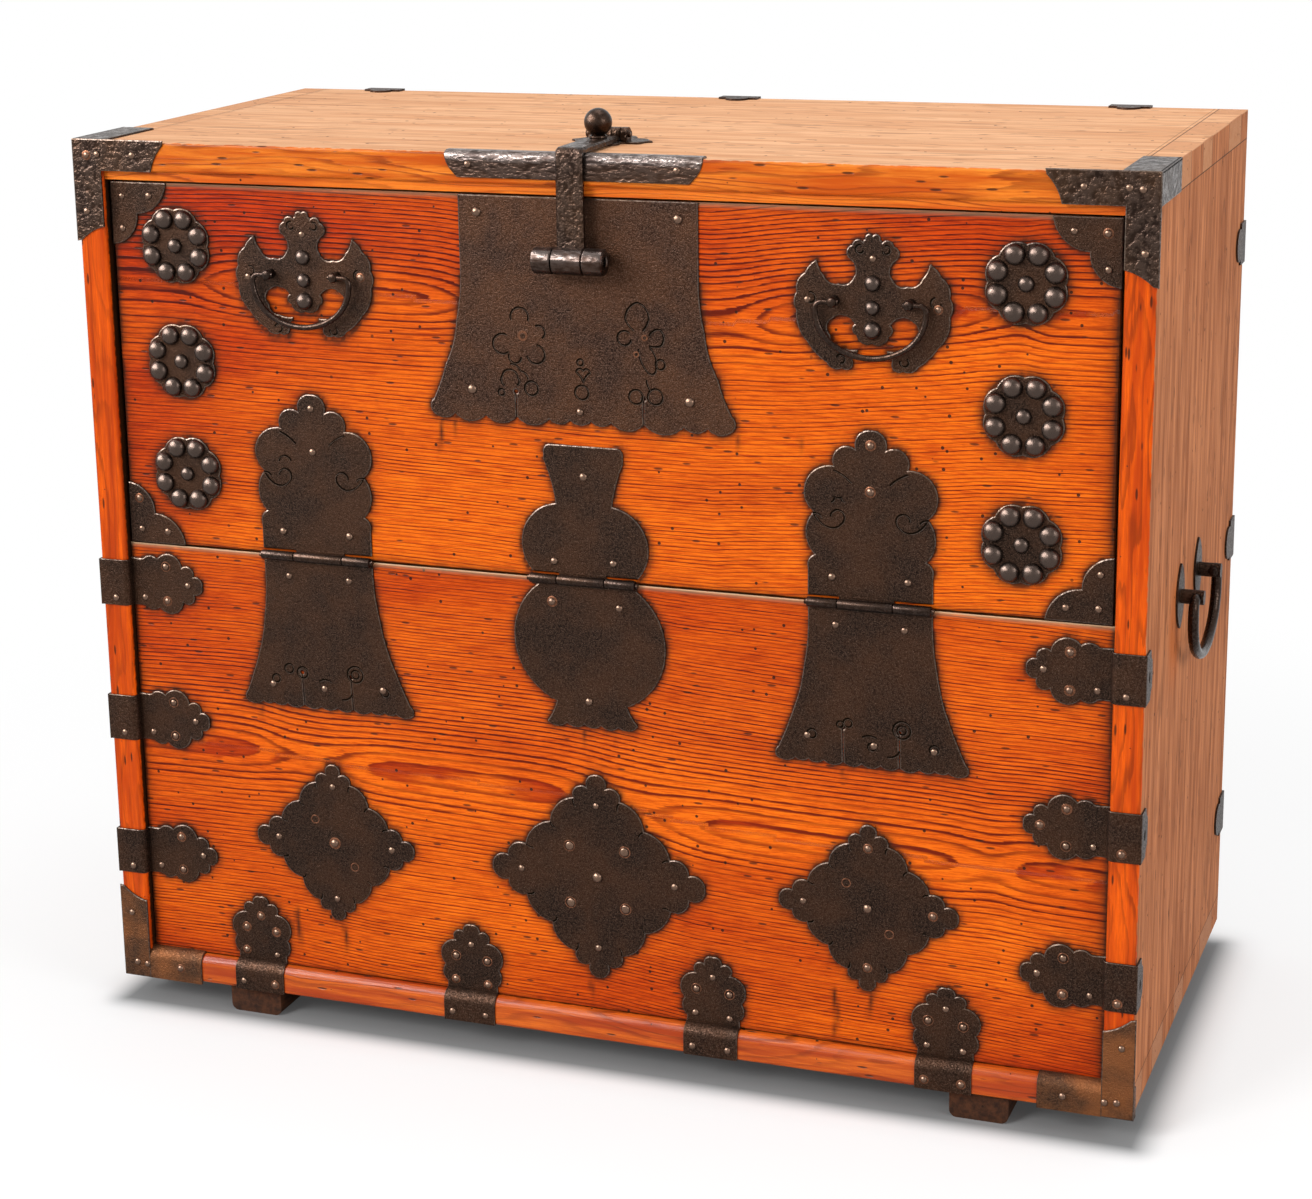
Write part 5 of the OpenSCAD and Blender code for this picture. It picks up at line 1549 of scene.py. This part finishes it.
# %% [markdown]
# ## The door and the lower panel
# The figure of the wood is what one notices first: long straight lines with pointed flames along one
# level, where the saw ran through the edge of a ring. It is made as it grows. The distance to a line
# through the board, which comes near the face in some places and lies deep in others, gives the ring
# number. Where the line comes near, the rings close into a flame.

# %% Ring numbers for a board
def rings_at(x, z, axis, flames, base, near, wide, low_spacing, high_spacing):
    """Ring number at (x, z): axis is the flames' level, and each flame is (middle, half length, strength)."""
    level = np.interp(x, [a for a, _ in axis], [b for _, b in axis])
    depth = np.full_like(x, base)
    for middle, half, strength in flames:
        depth -= strength * np.exp(-(np.abs(x - middle) / half) ** 5 * 0.69)
    away = np.sign(z - level) * np.sqrt((z - level) ** 2 + depth ** 2)
    reach = np.linspace(0, 420, 841)
    spacing = low_spacing + (high_spacing - low_spacing) * np.exp(-reach / 70) + near * np.exp(-reach / wide)
    number = np.concatenate([[0], np.cumsum(0.5 / spacing[:-1])])
    return np.interp(np.abs(away), reach, number) + np.where(away > 0, 0.0, 40.0), level, np.abs(away)


def waves(x, z, size, seed, stretch=0.25):
    """Slow waves of about this size, drawn out along the board."""
    return np.array([noise.noise(Vector((a * stretch / size, b / size, seed))) for a, b in zip(x, z)])


# %% A board that carries its figure
def board(name, low_x, high_x, low_z, high_z, node, body, figure, ease=1.2, step=3.4):
    """A front board whose face is a fine grid that carries the figure, the smoke and wax with painted shade,
    and the hue.
    """
    nx, nz = int((high_x - low_x) / step), int((high_z - low_z) / step)
    xs = np.linspace(low_x + ease, high_x - ease, nx + 1)
    zs = np.linspace(low_z + ease, high_z - ease, nz + 1)
    gx, gz = np.meshgrid(xs, zs)
    points = [(x, RECESS, z) for x, z in zip(gx.ravel(), gz.ravel())]
    work = Work()
    row = nx + 1
    faces = [(j * row + i, j * row + i + 1, (j + 1) * row + i + 1, (j + 1) * row + i)
             for j in range(nz) for i in range(nx)]
    border = (list(range(row)) + [j * row + nx for j in range(1, nz + 1)]
              + [nz * row + i for i in range(nx - 1, -1, -1)] + [j * row for j in range(nz - 1, 0, -1)])
    count = len(points)
    outer = []
    for i in border:
        x, _, z = points[i]
        x = low_x if x <= xs[0] + 1e-6 else high_x if x >= xs[-1] - 1e-6 else x
        z = low_z if z <= zs[0] + 1e-6 else high_z if z >= zs[-1] - 1e-6 else z
        outer.append((x, z))
    rims = [(x, y, z) for y in (RECESS + ease, RECESS + ease + 0.7, RECESS + 25) for x, z in outer]
    n = len(border)
    for k in range(n):
        m = (k + 1) % n
        faces.append((border[k], count + k, count + m, border[m]))
        for row_start in (count, count + n):
            faces.append((row_start + k, row_start + n + k, row_start + n + m, row_start + m))
    faces.append(tuple(count + 2 * n + k for k in range(n)))
    work.add(points + rims, faces)
    made = make(name, work, [RED_PINE], body, [node], 30)
    p = np.array(work.points)
    values = figure(p[:, 0], p[:, 2])
    # The pale line painted as the top edge's highlight stops at the face, and further back the board's edges,
    # in the gap to the frame, are painted fully dark as shade.
    values["rub"][count + n:] = 0
    values["grime"][count + n:] = 1
    for label, data in values.items():
        column = made.data.attributes.new(label, "FLOAT", "POINT").data
        column.foreach_set("value", np.asarray(data, np.float32))
    print(name, len(points), "points in its face")
    return made


# %% [markdown]
# ## Soot and painted shade
# Wax and soot have gathered round every plate, where no cloth gets to, and the same darkening is also painted
# shade in place of ambient occlusion, which makes the plates sit in the wood and not on it. An ambient
# occlusion node can't be exported, so the outlines that cut the plates are remembered, and each point of a
# board gets darker the nearer it lies to one of them.


# %% Soot and painted shade round the ironwork
halo_rings = []


def remember(ring, x0=0, z0=0, spread=5):
    """A plate's outline on the front, as points that wax and painted shade gather round."""
    halo_rings.append((np.array(ring) + (x0, z0), spread))


remember(lock_ring, CENTRE, DOOR_HIGH, 5.5)
remember(shifted(gourd_ring, 0, 1.5), CENTRE, SEAM)
remember(shifted(bulb_ring, 3, 3), CENTRE, SEAM)
for side in (-1, 1):
    remember(cloud_ring, CENTRE + side * HINGE_X, SEAM)
    remember(shifted(bell_ring, FOOT_LEAN[side]), CENTRE + side * HINGE_X, SEAM)
    remember(bat_ring, CENTRE + side * HANDLE_X, HANDLE_Z)
    for z in ROSETTE_Z[side]:
        remember(curl(0, 0, ROSETTE_R + 2, ROSETTE_R + 2, 0, 1, 60), CENTRE + ROSETTE_X * side, z, 6)
    for z in STRAP_Z[side]:
        remember([(side * (OPEN_HALF - v), u) for u, v in trace(mirrored(POST_HEAD))], 0, z)
    for level, up in ((DOOR_HIGH, -1), (DOOR_LOW, 1)):
        remember([(side * (DOOR_HALF - u), up * v) for u, v in trace(DOOR_CORNER)], 0, level)
for side, ring in lozenge_rings.items():
    remember(ring, *LOZENGES[side][:2])
for x0 in RAIL_STRAP_X:
    remember(trace(mirrored(BOTTOM_HEAD)), x0, BOARD)
print("soot gathers round", len(halo_rings), "outlines")


def soot_and_shade(x, z):
    """How dark each point is from wax and smoke and from painted shade near the plates, from 0 to 1."""
    total = np.zeros_like(x)
    for ring, spread in halo_rings:
        lo, hi = ring.min(0) - 4 * spread, ring.max(0) + 4 * spread
        near = (x > lo[0]) & (x < hi[0]) & (z > lo[1]) & (z < hi[1])
        if not near.any():
            continue
        px, pz = x[near], z[near]
        gap = np.full(px.shape, 1e9)
        for u, v in ring:
            gap = np.minimum(gap, (px - u) ** 2 + (pz - v) ** 2)
        total[near] = np.maximum(total[near], 1.25 * np.exp(-np.sqrt(gap) / (0.62 * spread)))
    return total


# %% [markdown]
# ## The door board
# The door is painted darkest along its ends and edges, as shade that the frame casts on the sunken board, and
# has a few drips of dark wax below the ironwork. Its flames lie along one level near the top and are reddest
# at their tips. Painting all this
# by hand would need a picture, so each mark is a short sum over the places of the board's points, laid
# down where the real one is.


# %% Painted edge shade, drips and flames
def edge_shade(x, z, half, low, high, sides=4.5):
    """A black band of painted shade along the board's edges, where the frame shades the sunken board; widest
    at its ends.
    """
    ends = np.maximum(np.minimum(x + half, half - x), 0)
    rails = np.maximum(np.minimum(z - low, high - z), 0)
    return np.maximum(1.3 * np.exp(-ends / np.where(x > 0, 1.25 * sides, sides)), 0.75 * np.exp(-rails / 3.5))


def drips(x, z, rows):
    """Thin dark runs down the board: each row is (x, top, length)."""
    total = np.zeros_like(x)
    for at, top, length in rows:
        wander = 1.5 * np.sin(z / 9 + at)
        below = np.clip((top - z) / 8, 0, 1) * np.clip((z - top + length) / 20, 0, 1)
        total = np.maximum(total, 0.9 * np.exp(-((x - at - wander) / 2.4) ** 2) * below)
    return total


def tips(x, z, rows):
    """Pointed red patches: rows of (x and z of the tip, length, height); below 0 it runs to the right."""
    total = np.zeros_like(x)
    for at, level, length, height in rows:
        share = (at - x) / length
        half = 0.5 * height * np.sqrt(np.clip(share * 2.2, 0, 1)) * (1 + 0.25 * np.sin(x / 7 + at))
        inside = np.clip((half - np.abs(z - level + 6 * share * np.sign(length))) / 1.5, 0, 1)
        fade = np.clip((1 - share) / 0.35, 0, 1) * (share > 0)
        total = np.maximum(total, 0.85 * inside * fade)
    return total


def towards_tips(x, flames):
    """Small in the middle of a flame and 1 at its two ends, where the wood is reddest."""
    total = np.zeros_like(x)
    for middle, half, _ in flames:
        share = np.abs(x - middle) / half
        total = np.maximum(total, np.clip((share - 0.3) / 0.35, 0.12, 1) * np.clip((1.2 - share) / 0.1, 0, 1))
    return total


# %% The door board
def door_figure(x, z):
    """The six numbers at each point of the door's face."""
    axis = ((-470, 697), (-356, 697), (-141, 692), (0, 684), (116, 683), (351, 706), (470, 709))
    flames = ((-248, 112, 17), (262, 92, 16), (440, 40, 12))
    wave = waves(x, z, 60, 2.0) * 3
    ring, level, away = rings_at(x, z + wave, axis, flames, 21, 6, 22, 3.2, 4.8)
    # Darkest of: soot and painted shade round the plates, and painted shade along the edges, where the frame
    # shades the sunken board.
    grime = np.maximum(soot_and_shade(x, z), edge_shade(x, z, DOOR_HALF, DOOR_LOW, DOOR_HIGH))
    grime = np.maximum(grime, drips(x, z, ((-144, 588, 40), (-128, 590, 26), (141, 590, 24), (196, 590, 20))))
    red = 0.25 + 0.34 * (z - 616) / 172 - 0.22 * x / 470 + 0.5 * waves(x, z, 130, 7.0, 0.5)
    red += 0.22 * np.clip((z - 690) / 40, 0, 1)
    red += 0.66 * np.clip((-x - 330) / 90, 0, 1) * np.clip((640 - z) / 90, 0, 1)
    red += 0.25 * np.clip((x - 395) / 70, 0, 1)
    flame = 0.45 * np.clip((7 - away) / 2, 0, 1) * towards_tips(x, flames)
    flame = np.maximum(flame, tips(x, z, ((351, 706, 62, 15), (447, 708, 46, 9), (-200, 741, 30, 4))))
    lines = 0.95 + 0.75 * np.exp(-((z - 728) / 55) ** 2)
    # A pale line along the door's top edge is painted as its highlight.
    rub = 0.9 * np.exp(-np.maximum(DOOR_HIGH - z, 0) / 0.8)
    return dict(ring=ring, grime=grime, red=np.clip(red, 0, 1), blush=flame, lines=lines, rub=rub)


board("door_board", -DOOR_HALF, DOOR_HALF, DOOR_LOW, DOOR_HIGH, "door_panel", "door", door_figure)


# %% The lower board
def lower_figure(x, z):
    """The six numbers at each point of the lower panel's face."""
    axis = ((-473, 244), (-344, 246), (-234, 240), (0, 234), (97, 225), (391, 212), (473, 208))
    flames = ((-430, 88, 17), (-130, 106, 17), (220, 125, 17), (460, 70, 17))
    wave = waves(x, z, 80, 5.0) * 6
    ring, level, away = rings_at(x, z + wave, axis, flames, 21, 10, 26, 3.2, 4.0)
    low, high = BOARD, SEAM - 1
    # Darkest of: soot and painted shade round the plates, and painted shade along the edges, where the frame
    # shades the sunken board.
    grime = np.maximum(soot_and_shade(x, z), edge_shade(x, z, OPEN_HALF, low, high))
    grime = np.maximum(grime, drips(x, z, (
        (228, 84, 60), (-312, 92, 50), (-8.5, 58, 28), (-9, 306, 26), (-4, 306, 18), (262, 96, 44),
        (-30, 300, 14), (-340, 298, 26), (-318, 298, 16), (236, 296, 22), (281, 296, 15), (-262, 84, 40),
        (20, 300, 12))))
    red = 0.34 + 0.12 * (z - 230) / 200 + 0.5 * waves(x, z, 130, 4.0, 0.5)
    red -= 0.22 * np.exp(-((z - level + 5) / 40) ** 2)
    red += 0.3 * np.exp(-(z - low) / 40) + 0.2 * np.clip((np.abs(x) - 380) / 90, 0, 1)
    flame = 0.8 * np.clip((12 - away) / 2, 0, 1) * towards_tips(x, flames[:2])
    flame = np.maximum(flame, tips(x, z, ((-345, 246, 86, 15), (-322, 242, 14, 4), (391, 212, -58, 14),
                                          (450, 205, -26, 8), (-234, 240, -120, 12), (109, 226, -70, 7))))
    lines = 1.0 + 0.5 * np.exp(-((z - 285) / 75) ** 2)
    # A pale line along the lower board's top edge is painted as its highlight.
    rub = 1.0 * np.exp(-np.maximum(high - z, 0) / 0.8)
    return dict(ring=ring, grime=grime, red=np.clip(red, 0, 1), blush=flame, lines=lines, rub=rub)


board("lower_board", -OPEN_HALF, OPEN_HALF, BOARD, SEAM - 1, "lower_front_panel", "case", lower_figure)

# %% [markdown]
# ## Finishes for the boards and irons that stay as they are
# The frame's boards, the runners and a few irons already have the right shape in the CAD model. They
# keep their meshes and only get their finish.

# %% Finishes on CAD nodes
KEPT = {
    TOP_WOOD: ["top_board"], LOW_WOOD: ["bottom_board"], STRIP_WOOD: ["header_rail"],
    SIDE_WOOD: ["left_side_board", "right_side_board"],
    BARE_WOOD: ["back_board", "top_door_stop", "side_door_stops"], RUNNER: ["left_runner", "right_runner"],
    PLATE: ["back_straps", "left_handle_plates", "right_handle_plates"],
    BRIGHT: ["hasp_staple", "hinge_pins"],
}
for finish, names in KEPT.items():
    for name in names:
        mesh = nodes[name].data
        mesh.materials.clear()
        mesh.materials.append(finish)
print("kept", sum(len(v) for v in KEPT.values()), "CAD nodes")

# %% [markdown]
# ## Floor and light
# The chest stands on a white floor that has no horizon. The floor shows the shadow near the chest, and
# further away the camera sees plain white. It is also darker right under the chest, where little light
# gets in. What the camera and mirror-like reflections see is white, but what lights the chest is a plain
# grey, so that the white doesn't wash the lacquer out.


# %% Floor
def looked_at(sheet):
    """1 where the camera looks, and 1 where it looks directly, by reflection or through something."""
    ray = sheet.add("ShaderNodeLightPath", None, None).outputs
    direct = ray["Is Camera Ray"]
    return direct, sheet.most(sheet.most(direct, ray["Is Glossy Ray"]), ray["Is Transmission Ray"])


floor_mesh = bpy.data.meshes.new("floor")
floor_mesh.from_pydata([(-14, -14, 0), (14, -14, 0), (14, 14, 0), (-14, 14, 0)], [], [(0, 1, 2, 3)])
floor = bpy.data.objects.new("floor", floor_mesh)
scene.collection.objects.link(floor)
material = bpy.data.materials.new("white_floor")
material.use_nodes = True
s = Sheet(material.node_tree)
skin = material.node_tree.nodes["Principled BSDF"]
wire(s, skin, 0.1, Roughness=0.9)
by_camera, watched = looked_at(s)
x, y, _ = s.parts(s.add("ShaderNodeTexCoord", None, "Object"))


def length(a, b):
    return s.sum("SQRT", s.plus(s.sum("POWER", a, 2.0), s.sum("POWER", b, 2.0)))


out_x = s.most(s.minus(s.size(x), HALF_W * MM), 0.0)
out_y = s.most(s.minus(s.size(s.minus(y, 0.01)), DEPTH / 2 * MM), 0.0)
out = length(out_x, out_y)
shade = s.window(out, -0.01, 0.035, 0.16, 1.0)
pale = s.blend(by_camera, (0.78, 0.78, 0.78), (0.98, 0.98, 0.98))
grey = s.add("ShaderNodeCombineColor", {0: shade, 1: shade, 2: shade})
s.link(s.blend(1.0, pale, grey, "MULTIPLY"), skin.inputs["Base Color"])
plain = s.add("ShaderNodeEmission", {"Color": (1, 1, 1), "Strength": 1.0})
share = s.times(s.window(length(x, y), 0.65, 1.5, 0.68, 1.0), s.window(out, -0.01, 0.06))
share = s.times(share, watched)
both = s.add("ShaderNodeMixShader", {0: share, 1: skin.outputs[0], 2: plain})
s.link(both, material.node_tree.nodes["Material Output"].inputs["Surface"])
floor_mesh.materials.append(material)
print("floor", [round(v, 1) for v in floor.dimensions])

# %% [markdown]
# ## Lamps
# A wide soft lamp in front and to the left lights the chest, a weak one fills the right side and another
# the top. The fourth is a softbox near the left that is seen only in reflections. Iron this dark hardly
# shows a lamp's light, so the softbox is what gives the studs, the ball and the barrel their broad
# highlights, and because it doesn't light the wood, the lacquer keeps its colour.

# %% World
world = bpy.data.worlds.new("studio")
scene.world = world
world.use_nodes = True
s = Sheet(world.node_tree)
sky = world.node_tree.nodes["Background"]
s.link(s.blend(looked_at(s)[1], (0.45, 0.455, 0.465), (1, 1, 1)), sky.inputs["Color"])


# %% Lamps
def lamp(name, where, aim, size, power):
    """A soft rectangular lamp at a place in metres, turned towards its aim."""
    data = bpy.data.lights.new(name, "AREA")
    data.shape = "RECTANGLE"
    data.size, data.size_y = size
    data.energy = power
    made = bpy.data.objects.new(name, data)
    scene.collection.objects.link(made)
    made.location = where
    made.rotation_mode = "QUATERNION"
    made.rotation_quaternion = (Vector(where) - Vector(aim)).to_track_quat("Z", "Y")
    return made


lamp("front_left_lamp", (-2.7, -5.0, 3.7), (0, 0, 0.45), (2.0, 2.0), 250)
left_softbox = lamp("left_softbox", (-2.7, -1.55, 2.4), (0, -0.2, 0.55), (2.2, 2.2), 330)
left_softbox.visible_diffuse = False
lamp("front_right_lamp", (2.6, -1.2, 1.6), (0, 0, 0.4), (1.4, 1.4), 34)
lamp("top_lamp", (0.1, 0.2, 3.2), (0, 0, 0.5), (1.6, 1.2), 32)
